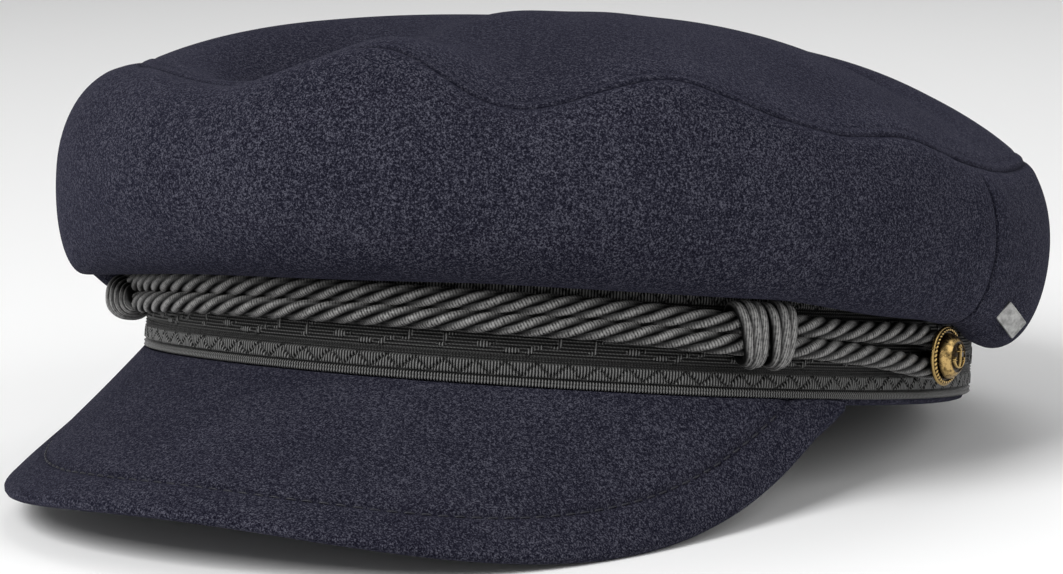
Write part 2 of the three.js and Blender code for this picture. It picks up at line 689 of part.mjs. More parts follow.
const cap = new THREE.Group();
cap.add(tipped);
cap.updateMatrixWorld(true);
const box = new THREE.Box3().setFromObject(cap, true);
tipped.position.set(-(box.min.x + box.max.x) / 2, -(box.min.y + box.max.y) / 2, -box.min.z);
cap.updateMatrixWorld(true);

export default cap;
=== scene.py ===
import math

import bpy
import numpy as np
from mathutils import Matrix, Vector


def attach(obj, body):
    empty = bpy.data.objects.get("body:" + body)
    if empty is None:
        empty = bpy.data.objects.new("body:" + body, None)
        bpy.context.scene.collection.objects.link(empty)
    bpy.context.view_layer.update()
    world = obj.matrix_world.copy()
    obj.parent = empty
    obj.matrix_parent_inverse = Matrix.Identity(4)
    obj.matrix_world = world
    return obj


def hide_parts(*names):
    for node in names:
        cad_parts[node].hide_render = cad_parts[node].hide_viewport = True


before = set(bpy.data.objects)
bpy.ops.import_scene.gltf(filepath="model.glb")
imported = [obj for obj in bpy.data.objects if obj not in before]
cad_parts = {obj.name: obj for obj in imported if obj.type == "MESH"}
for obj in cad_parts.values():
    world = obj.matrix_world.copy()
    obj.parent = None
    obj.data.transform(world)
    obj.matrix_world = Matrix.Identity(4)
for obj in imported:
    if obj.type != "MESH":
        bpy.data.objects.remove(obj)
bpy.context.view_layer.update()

# Headband
# The upright band that the head sits in. It is navy cloth folded double over a stiffener, and
# the trim, the crown and the peak are all sewn to it. Sizes are in millimetres.
OVAL = {"half_width": 87.5, "half_length": 103.0, "front_fullness": 0.05}
BAND = {"out": -1.3, "thick": 2.2, "bottom": -1.4, "top": 27.2, "rim": 0.9, "columns": 360, "rows": 14}
MM = 0.001


def oval(angle):
    """The trim's face from above, at angles in degrees."""
    a = np.radians(angle)
    across = OVAL["half_width"] * np.sin(a) * (1 + OVAL["front_fullness"] * np.cos(a))
    return np.stack([across, -OVAL["half_length"] * np.cos(a)], -1)


def outward(angle):
    """The level direction straight out from the trim's face."""
    along = oval(angle + 0.01) - oval(angle - 0.01)
    along /= np.linalg.norm(along, axis=-1, keepdims=True)
    return np.stack([along[..., 1], -along[..., 0]], -1)


def place(angle, out, up):
    """Points at angles in degrees from the front towards the wearer's left, out from the trim's
    face and up from its lower edge."""
    angle, out, up = (v.astype(float) for v in np.broadcast_arrays(angle, out, up))
    flat = oval(angle) + outward(angle) * out[..., None]
    return np.concatenate([flat, up[..., None]], -1)


# The headband's solid shows how the cap leans and where it stands: its two edges are level in
# the cap's own frame, so the direction in which it is shortest is the cap's own upright.
band_corners = np.array([v.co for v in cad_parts["headband"].data.vertices]) / MM
band_corners = np.unique(np.round(band_corners, 4), axis=0)
upright_axis = np.linalg.svd(band_corners - band_corners.mean(0), full_matrices=False)[2][2]
upright_axis *= np.sign(upright_axis[2])
own_axes = np.array([[1, 0, 0], np.cross(upright_axis, [1, 0, 0]), upright_axis])
band_reach = band_corners @ own_axes.T
band_middle = (band_reach.min(0) + band_reach.max(0)) / 2
rest_place = (band_middle - [0, 0, (BAND["bottom"] + BAND["top"]) / 2]) @ own_axes


def turned(points):
    """Directions in the cap's own frame, turned as the cap leans at rest."""
    return np.asarray(points, float) @ own_axes


def rested(points):
    """Points in the cap's own frame in millimetres, as the cap rests, in metres."""
    return (turned(points) + rest_place) * MM


def unit(v):
    """Directions of length 1."""
    return v / np.maximum(np.linalg.norm(v, axis=-1, keepdims=True), 1e-12)


def bell(distance, width):
    """1 at no distance, falling softly to 0."""
    return np.exp(-((distance / width) ** 2))


def ease(x, low, high):
    """0 up to low and 1 from high on, with a soft start and end."""
    t = np.clip((x - low) / (high - low), 0, 1)
    return t * t * (3 - 2 * t)


def slopes(grid, round_columns):
    """The outward normals of a grid of points, rows by columns."""
    if round_columns:
        along = np.roll(grid, -1, 1) - np.roll(grid, 1, 1)
    else:
        along = np.gradient(grid, axis=1)
    return unit(np.cross(along, np.gradient(grid, axis=0)))


def faces_of(rows, columns, round_rows, round_columns, first):
    """The faces of a grid whose points are numbered from first, with a lid on each open end."""
    index = first + np.arange(rows * columns).reshape(rows, columns)
    r = rows if round_rows else rows - 1
    c = columns if round_columns else columns - 1
    right, above = np.roll(index, -1, 1), np.roll(index, -1, 0)
    corner = np.roll(above, -1, 1)
    quads = np.stack([part[:r, :c] for part in (index, right, corner, above)], -1)
    quads = quads.reshape(-1, 4).tolist()
    if round_rows and not round_columns:
        quads += [index[:, 0].tolist(), index[::-1, -1].tolist()]
    if round_columns and not round_rows:
        quads += [index[0, ::-1].tolist(), index[-1].tolist()]
    return quads


def piece(name, parts, finish, stands_for=()):
    """A piece of the cap, made of grids of points in the cap's own frame. A part is its points,
    rows by columns, whether its rows and its columns go all the way round, and notes for its
    material, three numbers a point."""
    points, faces, notes = [], [], {}
    for grid, round_rows, round_columns, note in parts:
        faces += faces_of(*grid.shape[:2], round_rows, round_columns, sum(map(len, points)))
        points.append(rested(grid).reshape(-1, 3))
        for key, values in note.items():
            notes.setdefault(key, []).append(np.asarray(values, np.float32).reshape(-1, 3))
    mesh = bpy.data.meshes.new(name)
    mesh.from_pydata(np.concatenate(points), [], faces)
    for key, values in notes.items():
        kept = mesh.attributes.new(key, "FLOAT_VECTOR", "POINT")
        kept.data.foreach_set("vector", np.concatenate(values).ravel())
    mesh.shade_smooth()
    mesh.materials.append(finish)
    made = bpy.data.objects.new(name, mesh)
    bpy.context.scene.collection.objects.link(made)
    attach(made, "root")
    if stands_for:
        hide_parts(*stands_for)
    return made


# A rounded edge's three rows: how far to each side, and how far out, as shares of its half size.
RIM_ROUND = ((0.75, 0.7), (0, 1), (-0.75, 0.7))


def wall(outer, inner, bulge):
    """The rows of a closed wall: up its outer face, over a rounded edge, down its inner face and
    round again. Bulge is how far an edge stands out, as a share of the wall's thickness."""
    def rim(a, b, before):
        middle, thick = (a + b) / 2, np.linalg.norm(a - b, axis=-1, keepdims=True)
        ahead = unit(a - before)
        return [middle + (a - middle) * k + ahead * thick * bulge * h for k, h in RIM_ROUND]

    top = rim(outer[-1], inner[-1], outer[-2])
    bottom = rim(inner[0], outer[0], inner[1])
    return np.concatenate([outer, top, inner[::-1], bottom])


class Shade:
    """A socket of a material, so that what its nodes work out reads as plain sums."""

    def __init__(self, tree, socket=None):
        self.tree, self.socket = tree, socket

    def node(self, kind, inputs=None, output=0, **settings):
        """A node of a kind, with its settings, the values or links of its sockets and its output."""
        made = self.tree.nodes.new("ShaderNode" + kind)
        stops = settings.pop("stops", None)
        for key, value in settings.items():
            setattr(made, key, value)
        if stops:
            marks = made.color_ramp.elements
            while len(marks) < len(stops):
                marks.new(1)
            for mark, (at, colour) in zip(marks, stops):
                mark.position, mark.color = at, (*colour, 1)
        for key, value in (inputs or {}).items():
            if isinstance(value, Shade):
                self.tree.links.new(value.socket, made.inputs[key])
            else:
                made.inputs[key].default_value = value
        return Shade(self.tree, made.outputs[output])

    def sum(self, operation, *values):
        return self.node("Math", dict(enumerate(values)), operation=operation)

    def __add__(self, other):
        return self.sum("ADD", self, other)

    def __sub__(self, other):
        return self.sum("SUBTRACT", self, other)

    def __rsub__(self, other):
        return self.sum("SUBTRACT", other, self)

    def __mul__(self, other):
        return self.sum("MULTIPLY", self, other)

    __radd__, __rmul__ = __add__, __mul__

    def wave(self, length):
        """1 on the crests and 0 in the hollows of a wave of this length."""
        return self.sum("COSINE", self * (2 * math.pi / length)) * 0.5 + 0.5

    def within(self, low, high):
        """0 at low and 1 at high, held in between."""
        return self.node("MapRange", {0: self, 1: low, 2: high})

    def ramp(self, *stops):
        return self.node("ValToRGB", {0: self}, stops=stops)

    def blend(self, under, over):
        return self.node("Mix", {0: self, 6: under, 7: over}, output=2, data_type="RGBA")

    def grain(self, scale, detail=2.0, rough=0.6):
        """Fine noise, fixed to the piece: scale is its lumps a metre."""
        where = self.node("TexCoord", output="Object")
        inputs = {"Scale": scale, "Detail": detail, "Roughness": rough, "Vector": where}
        return self.node("TexNoise", inputs)

    def note(self, name, axis):
        """One of the three numbers that a piece keeps at each point under a name."""
        kept = self.node("Attribute", output="Vector", attribute_name=name)
        return self.node("SeparateXYZ", {0: kept}, output=axis)

    def bump(self, height, strength=0.5, relief=0.2):
        """Strength is a share, and relief the depth of the bumps in millimetres."""
        return self.node("Bump", {"Strength": strength, "Distance": relief * MM, "Height": height})


def finish(name, look, constants):
    """A material: look gives what varies over the surface, and constants what doesn't, by the
    shader's own socket names."""
    made = bpy.data.materials.new(name)
    made.use_nodes = True
    shader = made.node_tree.nodes["Principled BSDF"]
    for socket, value in constants.items():
        shader.inputs[socket].default_value = value
    for socket, value in look(Shade(made.node_tree)).items():
        made.node_tree.links.new(value.socket, shader.inputs[socket])
    return made


WOOL_DEEP = (0.0045, 0.0045, 0.0085)
WOOL_NAVY = (0.0150, 0.0150, 0.0240)
WOOL_PALE = (0.070, 0.070, 0.090)


def brushed_wool(s):
    """Cashmere cloth: a short felted nap of dark and pale fibres that hides the weave, darkened with painted
    shade where the seam note is set.
    """
    nap = s.grain(2800, 2.0, 0.7)
    tufts = s.grain(1300, 2.0, 0.6)
    broad = s.grain(60, 3.0, 0.55)
    mixed = nap * 0.66 + tufts * 0.28 + broad * 0.06
    colour = mixed.ramp((0.4, WOOL_DEEP), (0.505, WOOL_NAVY), (0.61, WOOL_PALE))
    # Painted shade: the seam note darkens the cloth along the seams, beside the welt, along the peak's
    # stitch line and over the flat top.
    colour = s.note("seam", 0).blend(colour, (*WOOL_DEEP, 1))
    height = nap * 0.7 + tufts * 0.5
    return {"Base Color": colour, "Normal": s.bump(height, 0.8, 0.4)}


WOOL_SHADER = {
    "Roughness": 0.95,
    "Specular IOR Level": 0.02,
    "Sheen Weight": 0.035,
    "Sheen Roughness": 0.5,
    "Sheen Tint": (0.6, 0.6, 1.0, 1),
}
wool = finish("navy_wool", brushed_wool, WOOL_SHADER)

round_band = np.linspace(-180, 180, BAND["columns"], endpoint=False)
band_rows = np.linspace(BAND["bottom"] + BAND["rim"], BAND["top"] - BAND["rim"], BAND["rows"])[:, None]
band_outer = place(round_band, BAND["out"], band_rows)
band_inner = place(round_band, BAND["out"] - BAND["thick"], band_rows)
band_wall = wall(band_outer, band_inner, 0.42)
piece("headband_cloth", [(band_wall, True, True, {})], wool, ["headband"])

# Sweatband
# A ribbed ribbon sewn inside the headband, a little narrower than it, that lies against the
# head. It is black, with its ribs upright and its lower edge stitched down.
SWEATBAND = {"out": -4.43, "thick": 0.7, "bottom": 0.6, "top": 24.0, "rib": 1.1, "sag": 0.25}


def distance_round(angles):
    """How far each angle is from the first one, along the trim's face."""
    points = oval(angles)
    return np.concatenate([[0], np.cumsum(np.linalg.norm(np.diff(points, axis=0), axis=1))])


def grosgrain(s):
    along, up = s.note("weave", 0), s.note("weave", 1)
    rib = along.wave(SWEATBAND["rib"])
    thread = up.wave(0.4)
    # Painted shade and highlight: the ribs are drawn darker in their hollows and lighter on their crests,
    # with the same waves as their bumps.
    colour = (rib * 0.7 + thread * 0.3).blend((0.006, 0.006, 0.008, 1), (0.03, 0.03, 0.036, 1))
    height = rib * 0.8 + thread * 0.2 + s.grain(900) * 0.2
    return {"Base Color": colour, "Normal": s.bump(height, 0.5, 0.25)}


sweat_angles = np.linspace(-180, 180, 480, endpoint=False)
sweat_up = np.linspace(SWEATBAND["bottom"], SWEATBAND["top"], 24)
sweat_sag = np.sin(np.radians(sweat_angles * 7)) * np.sin(np.radians(sweat_angles * 3 + 40))
sweat_out = SWEATBAND["out"] + SWEATBAND["sag"] * sweat_sag * ease(sweat_up, 0, 20)[:, None]
sweat_outer = place(sweat_angles, sweat_out + SWEATBAND["thick"], sweat_up[:, None])
sweat_inner = place(sweat_angles, sweat_out, sweat_up[:, None])
sweat_grid = wall(sweat_outer, sweat_inner, 0.5)
sweat_walk = np.broadcast_to(distance_round(sweat_angles), sweat_grid.shape[:2])
sweat_note = np.stack([sweat_walk, sweat_grid[..., 2], 0 * sweat_walk], -1)
RIBBED_SHADER = {"Roughness": 0.7, "Sheen Weight": 0.2, "Specular IOR Level": 0.3}
ribbed = finish("ribbed_ribbon", grosgrain, RIBBED_SHADER)
piece("sweatband", [(sweat_grid, True, True, {"weave": sweat_note})], ribbed)

# Trim
# A woven black ribbon round the headband, the same above and below its middle: a corded edge,
# a row of satin triangles, two fine cords, and a ribbed ground with small raised satin figures.
TRIM = {"height": 23.0, "thick": 1.0, "face": -0.25, "relief": 0.5, "columns": 1190, "rows": 77}
EDGE_CORD = 0.775
EDGE_LINE = 1.7
TRIANGLES = {"bottom": 1.9, "top": 4.75, "length": 6.2, "step": 0.45}
FINE_CORDS = (5.15, 5.75)
FIGURE_REPEAT = 30.4
# Each satin figure: its place along the repeat and up from the edge, half-sizes and lean.
FIGURES = [
    # along, up, half_along, half_up, lean
    (2.0, 8.0, 1.55, 0.8, 0.0),
    (4.4, 8.2, 0.35, 0.5, 0.0),
    (7.8, 7.0, 1.7, 0.65, 0.25),
    (11.6, 7.2, 0.75, 0.95, 0.6),
    (13.6, 7.9, 0.55, 0.6, 0.2),
    (17.3, 8.9, 0.5, 1.25, 0.15),
    (16.4, 8.0, 0.8, 0.4, 0.0),
    (24.6, 8.6, 0.45, 1.5, 0.1),
    (24.0, 7.3, 1.0, 0.4, 0.0),
    (25.9, 9.6, 0.7, 0.4, -0.3),
]


def ribbon(along, up):
    """Satin, dark and lift, from 0 to 1, at places on the ribbon. Dark marks the grooves and gaps beside the
    raised parts, which it sinks and draws near black as painted shade.
    """
    side = np.minimum(up, TRIM["height"] - up)
    satin, dark, lift = np.zeros((3, *side.shape))
    edge = side < EDGE_LINE
    satin[edge] = 1
    lift += np.where(edge, 0.75 * np.abs(np.sin(np.pi * side / EDGE_CORD)) ** 0.7, 0)
    dark += np.where(edge, 0.8 * bell(side - EDGE_CORD, 0.13), 0) + bell(side - EDGE_LINE, 0.17)
    stepped = np.floor(along / TRIANGLES["step"]) * TRIANGLES["step"]
    tooth = np.abs((stepped / TRIANGLES["length"]) % 1 * 2 - 1)
    crest = TRIANGLES["bottom"] + (TRIANGLES["top"] - TRIANGLES["bottom"]) * tooth
    row = (side > TRIANGLES["bottom"]) & (side < TRIANGLES["top"])
    apart = np.abs(side - crest) * 0.72
    satin[row] = 1
    lift += np.where(row, 0.8 * ease(apart, 0.05, 0.5) * np.where(side < crest, 1, 0.72), 0)
    dark += np.where(row, 0.95 * bell(apart, 0.2), 0)
    for height in FINE_CORDS:
        cord = bell(side - height, 0.2)
        lift += 0.6 * cord * (0.75 + 0.25 * np.cos(2 * np.pi * along / 0.62))
        satin = np.maximum(satin, 0.5 * cord)
        dark += 0.7 * bell(side - height + 0.31, 0.12) + 0.7 * bell(side - height - 0.31, 0.12)
    here = along % FIGURE_REPEAT
    for at, height, half_along, half_up, lean in FIGURES:
        far = np.hypot((here - at - lean * (side - height)) / half_along, (side - height) / half_up)
        shape = 1 - ease(far, 0.8, 1.15)
        satin, lift = np.maximum(satin, shape), np.maximum(lift, 0.75 * shape)
        dark += 0.5 * bell(far - 1.2, 0.12)
    stem = 10.4 + 0.9 * np.sin(2 * np.pi * here / FIGURE_REPEAT * 2 + 0.6)
    line = bell(side - stem, 0.22) * (0.6 + 0.4 * np.cos(2 * np.pi * along / 0.9))
    satin = np.maximum(satin, 0.6 * line)
    return np.stack([satin, np.clip(dark, 0, 1), np.clip(lift + 0.4 * line, 0, 1)], -1)


TRIM_PAINTED_SHADE = (0.0008, 0.0008, 0.0008, 1)
TRIM_GROUND = (0.072, 0.072, 0.07, 1)
TRIM_SATIN_SHEEN = (0.155, 0.155, 0.152, 1)


def woven_trim(s):
    along, up = s.note("weave", 0), s.note("weave", 1)
    satin, dark = s.note("yarn", 0), s.note("yarn", 1)
    upright = (along + s.grain(350) * 0.2).wave(0.64)
    ribs = up.wave(0.68) * (0.62 + (along + up * 0.5).wave(0.72) * 0.38)
    threads = satin * upright + (1 - satin) * ribs
    # Painted sheen: the satin parts of the black weave are drawn lighter than its ground.
    lit = satin.blend(TRIM_GROUND, TRIM_SATIN_SHEEN)
    # Painted shade: the hollows between the threads are drawn near black, with the same waves as their
    # bumps.
    colour = threads.within(0.35, 0.95).blend(TRIM_PAINTED_SHADE, lit)
    # Painted shade: the grooves and gaps marked dark are drawn near black.
    colour = dark.within(0.15, 0.95).blend(colour, TRIM_PAINTED_SHADE)
    height = threads * 0.7 - dark * 0.6
    return {"Base Color": colour, "Roughness": 0.55 - satin * 0.17, "Normal": s.bump(height, 0.9, 0.3)}


trim_weave = finish("woven_trim", woven_trim, {"Specular IOR Level": 0.16})
trim_angles = np.linspace(-180, 180, TRIM["columns"], endpoint=False)
trim_up = np.linspace(0, TRIM["height"], TRIM["rows"])
trim_along, trim_side = np.meshgrid(distance_round(trim_angles), trim_up)
trim_yarn = ribbon(trim_along, trim_side)
trim_face = TRIM["face"] + TRIM["relief"] * (trim_yarn[..., 2] - 0.6 * trim_yarn[..., 1])
trim_outer = place(trim_angles, trim_face, trim_up[:, None])
trim_inner = place(trim_angles, -TRIM["thick"], trim_up[[0, -1]][:, None])
trim_grid = np.concatenate([trim_outer, trim_inner[::-1]])
trim_back = np.zeros((2, TRIM["columns"], 3))
trim_weave_note = np.concatenate([np.stack([trim_along, trim_side, 0 * trim_side], -1), trim_back])
trim_notes = {"weave": trim_weave_note, "yarn": np.concatenate([trim_yarn, trim_back])}
piece("trim_ribbon", [(trim_grid, True, True, trim_notes)], trim_weave, ["trim_band"])

# Crown
# The full soft crown of navy cloth: a front and a back side panel joined at two side seams,
# and an oval top. The sides hang over the trim in a roll, and the top is slack and dented.
CROWN_CLOTH = 2.0
CROWN_SEAM_ANGLE = 88.5
CROWN_EDGE = {"inner": -3.2, "outer": -1.1, "up": 27.5, "run": 0.15}
CROWN_FOLD = 3.0
TOP_MIDDLE = (0.0, -4.0, 78.5)
TOP_PUFF = 3.0
SECTION_COLUMNS = ["hang_out", "hang_up", "wide_out", "wide_up", "rise", "inward", "turn"]
CROWN_SECTIONS = np.array([
    # angle, hang_out, hang_up, wide_out, wide_up, rise, inward, turn
    (-180, 6, 12, 17, 34, 22.5, 13, 64),
    (-150, 6, 12, 18, 34, 27, 13, 64),
    (-122, 6, 12, 19, 35, 28.5, 13, 66),
    (-106, 6, 12, 20, 35, 27.5, 13, 67),
    (-97, 6, 12.4, 18.5, 36, 25.5, 13, 68),
    (-91, 6, 16.2, 18.5, 36, 25, 13, 68),
    (-86, 6.5, 16.8, 19, 36, 25, 13, 70),
    (-76, 8.5, 13, 18.5, 36, 25, 15, 76),
    (-65, 10, 9.5, 18.9, 37, 24.2, 16, 84),
    (-58, 13.9, 14.6, 19.9, 38, 23.5, 15.5, 88),
    (-45, 13.9, 14.8, 21.4, 38, 22, 14.5, 98),
    (-31, 8.6, 16, 22.5, 40, 19, 14, 105),
    (-10, 8.2, 18, 24, 40, 16, 13, 105),
    (0, 8, 18.7, 24, 40, 21, 12, 100),
    (11, 7, 19.4, 23, 39, 27, 12, 82),
    (25, 6, 20.1, 21, 38, 17, 12, 70),
    (42, 6, 20.1, 19, 38, 27, 12, 66),
    (49, 6.5, 20.1, 18, 37, 25, 12, 64),
    (57, 7, 20.2, 18, 36, 22, 12, 62),
    (64, 6.5, 19.2, 17.5, 35, 21, 12, 62),
    (72, 6, 17.8, 16.5, 35, 22, 12, 62),
    (86, 6, 16.8, 15.5, 34, 18.5, 12, 60),
    (91, 6, 16.3, 15.5, 33.5, 18, 12, 60),
    (97, 5.5, 12.4, 15.5, 33, 18, 12, 60),
    (106, 5.5, 11, 15.5, 33, 19, 12, 60),
    (125, 5.5, 10.8, 16, 33, 22.5, 12, 60),
    (150, 6, 11.4, 16, 33, 24, 12, 62),
], float)
TOP_DENTS = [
    # x, y, along, across, heading, depth
    (-30, -86, 44, 22, -12, 17),
    (35, 16, 34, 10, 88, 6.5),
    (14, -84, 22, 14, 30, 5),
    (44, 56, 46, 30, 30, 1.5),
]


def read_table(rows, at, goes_round):
    """Each column of a table after the first, at places along the first, on a smooth curve
    through the rows."""
    if goes_round:
        lap = np.zeros(rows.shape[1])
        lap[0] = 360
        rows = np.concatenate([rows[-2:] - lap, rows, rows[:2] + lap])
        at = (at - rows[2, 0]) % 360 + rows[2, 0]
    places, values = rows[:, 0], rows[:, 1:]
    span = np.diff(places)
    grade = np.diff(values, axis=0) / span[:, None]
    product, total = grade[:-1] * grade[1:], grade[:-1] + grade[1:]
    slope = np.where(product > 0, 2 * product / np.where(product > 0, total, 1), 0)
    slope = np.pad(slope, ((1, 1), (0, 0)))
    i = np.clip(np.searchsorted(places, at, "right") - 1, 0, len(span) - 1)
    t = np.clip((at - places[i]) / span[i], 0, 1)[:, None]
    width = span[i][:, None]
    start = (1 + 2 * t) * (1 - t) ** 2 * values[i] + t * (1 - t) ** 2 * width * slope[i]
    return start + t * t * (3 - 2 * t) * values[i + 1] + t * t * (t - 1) * width * slope[i + 1]


# The sections are read every half degree and evened out over their neighbours.
SECTION_STEP = 0.5
SECTION_SMOOTHING = 2.2624
SECTION_REACH = 20
section_angles = np.arange(-180, 180, SECTION_STEP)
section_values = read_table(CROWN_SECTIONS, section_angles, True)
neighbours = range(-SECTION_REACH, SECTION_REACH + 1)
weights = bell(np.array(neighbours) * SECTION_STEP, SECTION_SMOOTHING)
weights /= weights.sum()
section_values = sum(w * np.roll(section_values, k, 0) for w, k in zip(weights, neighbours))


def section_at(angles):
    """The crown's section at angles, by the names of its columns."""
    values = {}
    for column, name in enumerate(SECTION_COLUMNS):
        values[name] = np.interp(angles, section_angles, section_values[:, column], period=360)
    return values


def quarter(start, end, share, leaves_level):
    """A place on a quarter oval between two points, which leaves the first one level or upright."""
    turn = share * math.pi / 2
    quick, slow = math.sin(turn), 1 - math.cos(turn)
    out, up = (quick, slow) if leaves_level else (slow, quick)
    return start[0] + (end[0] - start[0]) * out, start[1] + (end[1] - start[1]) * up


def crown_side(angles, run):
    """A line round the crown's side: runs 0 to 1 hang from the headband, 1 to 2 fold, 2 to 3
    swell and 3 to 4 turn in over the shoulder."""
    s = section_at(angles)
    edge = (CROWN_EDGE["outer"], CROWN_EDGE["up"])
    hanging = (s["hang_out"] - CROWN_FOLD, s["hang_up"] + CROWN_FOLD)
    fold, wide = (s["hang_out"], s["hang_up"]), (s["wide_out"], s["wide_up"])
    level = CROWN_EDGE["run"]
    if run < level:
        at = (CROWN_EDGE["inner"] + (edge[0] - CROWN_EDGE["inner"]) * run / level, edge[1])
    elif run < 1:
        at = quarter(edge, hanging, (run - level) / (1 - level), True)
    elif run < 2:
        at = quarter(hanging, fold, run - 1, False)
    elif run < 3:
        at = quarter(fold, wide, run - 2, True)
    else:
        bend = np.radians(s["turn"]) * (run - 3)
        at = (wide[0] - s["inward"] * (1 - np.cos(bend)), wide[1] + s["rise"] * np.sin(bend))
    return place(angles, at[0], at[1])


def dent_depth(x, y):
    """How far the dents draw the top down."""
    depth = 0
    for at_x, at_y, along, across, heading, deep in TOP_DENTS:
        h = math.radians(heading)
        far = (x - at_x) * math.sin(h) - (y - at_y) * math.cos(h)
        wide = (x - at_x) * math.cos(h) + (y - at_y) * math.sin(h)
        depth = depth + deep * np.exp(-((far / along) ** 2) - (wide / across) ** 2)
    return depth


def crown_top(seam, inward):
    """A line round the crown's top, from 0 at its seam to 1 at its middle."""
    line = seam + (np.array(TOP_MIDDLE) - seam) * inward
    line[..., 2] = seam[..., 2] + (TOP_MIDDLE[2] - seam[..., 2]) * (1 - (1 - inward) ** TOP_PUFF)
    line[..., 2] -= dent_depth(line[..., 0], line[..., 1]) * ease(inward, 0, 0.25)
    return line


# The lines and columns on which the cloth is drawn stand closer together at the seams.
SIDE_RUNS = np.concatenate([
    np.linspace(0, 1, 13)[:-1],
    np.linspace(1, 2, 9)[:-1],
    np.linspace(2, 3, 22)[:-1],
    np.linspace(3, 3.72, 16)[:-1],
    np.linspace(3.72, 4, 18),
])
TOP_INWARD = np.concatenate([np.linspace(0, 0.09, 20)[:-1], 0.09 + 0.9 * np.linspace(0, 1, 40) ** 1.15])
PANEL_COLUMNS = {"count": 214, "crowding": 0.85}


def panel_columns(start, end):
    """Angles from one side seam to the next."""
    t = np.linspace(0, 1, PANEL_COLUMNS["count"])
    crowded = t - PANEL_COLUMNS["crowding"] * np.sin(2 * math.pi * t) / (2 * math.pi)
    return start + (end - start) * crowded


front_columns = panel_columns(-CROWN_SEAM_ANGLE, CROWN_SEAM_ANGLE)
back_columns = panel_columns(CROWN_SEAM_ANGLE, 360 - CROWN_SEAM_ANGLE)
crown_columns = np.concatenate([front_columns[:-1], back_columns[:-1]])
side_lines = np.stack([crown_side(crown_columns, run) for run in SIDE_RUNS])
top_lines = np.stack([crown_top(side_lines[-1], inward) for inward in TOP_INWARD])
crown_grid = np.concatenate([side_lines, top_lines[1:]])

# The cloth bends softly over the top seam: the lines near it are evened out again and again.
SEAM_LINE = len(SIDE_RUNS) - 1
SEAM_SOFTNESS = 90
SOFT_LINES = 12
near_seam = bell(np.arange(len(crown_grid)) - SEAM_LINE, SOFT_LINES)[1:-1, None, None]
for _ in range(SEAM_SOFTNESS):
    crown_grid[1:-1] += 0.5 * near_seam * ((crown_grid[:-2] + crown_grid[2:]) / 2 - crown_grid[1:-1])
crown_normals = slopes(crown_grid, True)

# The seams draw the cloth in, with a welt beside the top one and soft puckers along them all.
WELT = {
    # height, how far past the seam, width
    "groove": (-0.3, 0, 0.6),
    "ridge": (0.16, 1.4, 0.8),
    "second": (-0.18, 2.9, 0.7),
    "shoulder": (0.15, -2.6, 1.6),
}
SIDE_SEAM = {"deep": 0.4, "width": 0.5, "puff": 0.5, "puff_at": 6.0, "puff_width": 5.5}
# Waves along the seams: length, size and start.
TOP_PUCKERS = [(9.0, 0.16, 0.3), (14.0, 0.2, 1.9), (31.0, 0.2, 4.0)]
SIDE_PUCKERS = [(11.0, 0.18, 0.5), (6.5, 0.1, 2.0)]
steps = np.linalg.norm(np.diff(crown_grid, axis=0), axis=-1)
past_seam = np.concatenate([np.zeros((1, steps.shape[1])), np.cumsum(steps, 0)])
past_seam -= past_seam[SEAM_LINE]


def waves(values, table):
    """A sum of sine waves along values: length, size and start of each."""
    return sum(size * np.sin(2 * math.pi * values / length + start) for length, size, start in table)


column_walk = distance_round(np.append(crown_columns, crown_columns[0] + 360))[:-1]
pucker = 1 + waves(column_walk, TOP_PUCKERS)
welt = {name: size * bell(past_seam - at, width) for name, (size, at, width) in WELT.items()}
relief = (welt["groove"] + welt["ridge"]) * pucker + welt["second"] + welt["shoulder"]
seam_angles = np.array([-CROWN_SEAM_ANGLE, CROWN_SEAM_ANGLE, 360 - CROWN_SEAM_ANGLE])
MM_A_DEGREE = 2.05
from_side_seam = MM_A_DEGREE * np.min(np.abs(crown_columns - seam_angles[:, None]), 0)


def up_the_crown(on_side, on_top):
    """A share for each line of the crown, as a column, from those on its side and on its top."""
    return np.append(on_side, np.broadcast_to(on_top, len(TOP_INWARD))[1:])[:, None]


upright = up_the_crown(ease(SIDE_RUNS, 1.2, 2.3), 0) * (1 - ease(past_seam, -7, -1))
drawn_in = -SIDE_SEAM["deep"] * bell(from_side_seam, SIDE_SEAM["width"])
drawn_in += SIDE_SEAM["puff"] * bell(from_side_seam - SIDE_SEAM["puff_at"], SIDE_SEAM["puff_width"])
relief += upright * drawn_in * (1 + waves(past_seam, SIDE_PUCKERS))

# The cloth swells a little under the side plate, and hangs slack everywhere.
PLATE_SWELL = {"size": 1.1, "angle": 104, "width": 7, "run": 2.6, "runs": 0.5}
SLACK = {"size": 0.35, "x": 17, "y": 21, "z": 15}
swell = bell(crown_columns - PLATE_SWELL["angle"], PLATE_SWELL["width"])
swell_up = bell(SIDE_RUNS - PLATE_SWELL["run"], PLATE_SWELL["runs"])
relief += PLATE_SWELL["size"] * swell * up_the_crown(swell_up, 0)
x, y, z = np.moveaxis(crown_grid, -1, 0)
slack = np.sin(x / SLACK["x"] + 1.0) * np.sin(y / SLACK["y"]) * np.sin(z / SLACK["z"] + 0.6)
relief += SLACK["size"] * slack * up_the_crown(ease(SIDE_RUNS, 1.5, 2.5), 1)
crown_outer = crown_grid + crown_normals * relief[..., None]
crown_inner = crown_grid - crown_normals * CROWN_CLOTH
edge_rows = np.flatnonzero(SIDE_RUNS < 0.5)
crown_inner[edge_rows, :, 2] = np.maximum(crown_inner[edge_rows, :, 2], CROWN_EDGE["up"] + 0.1)

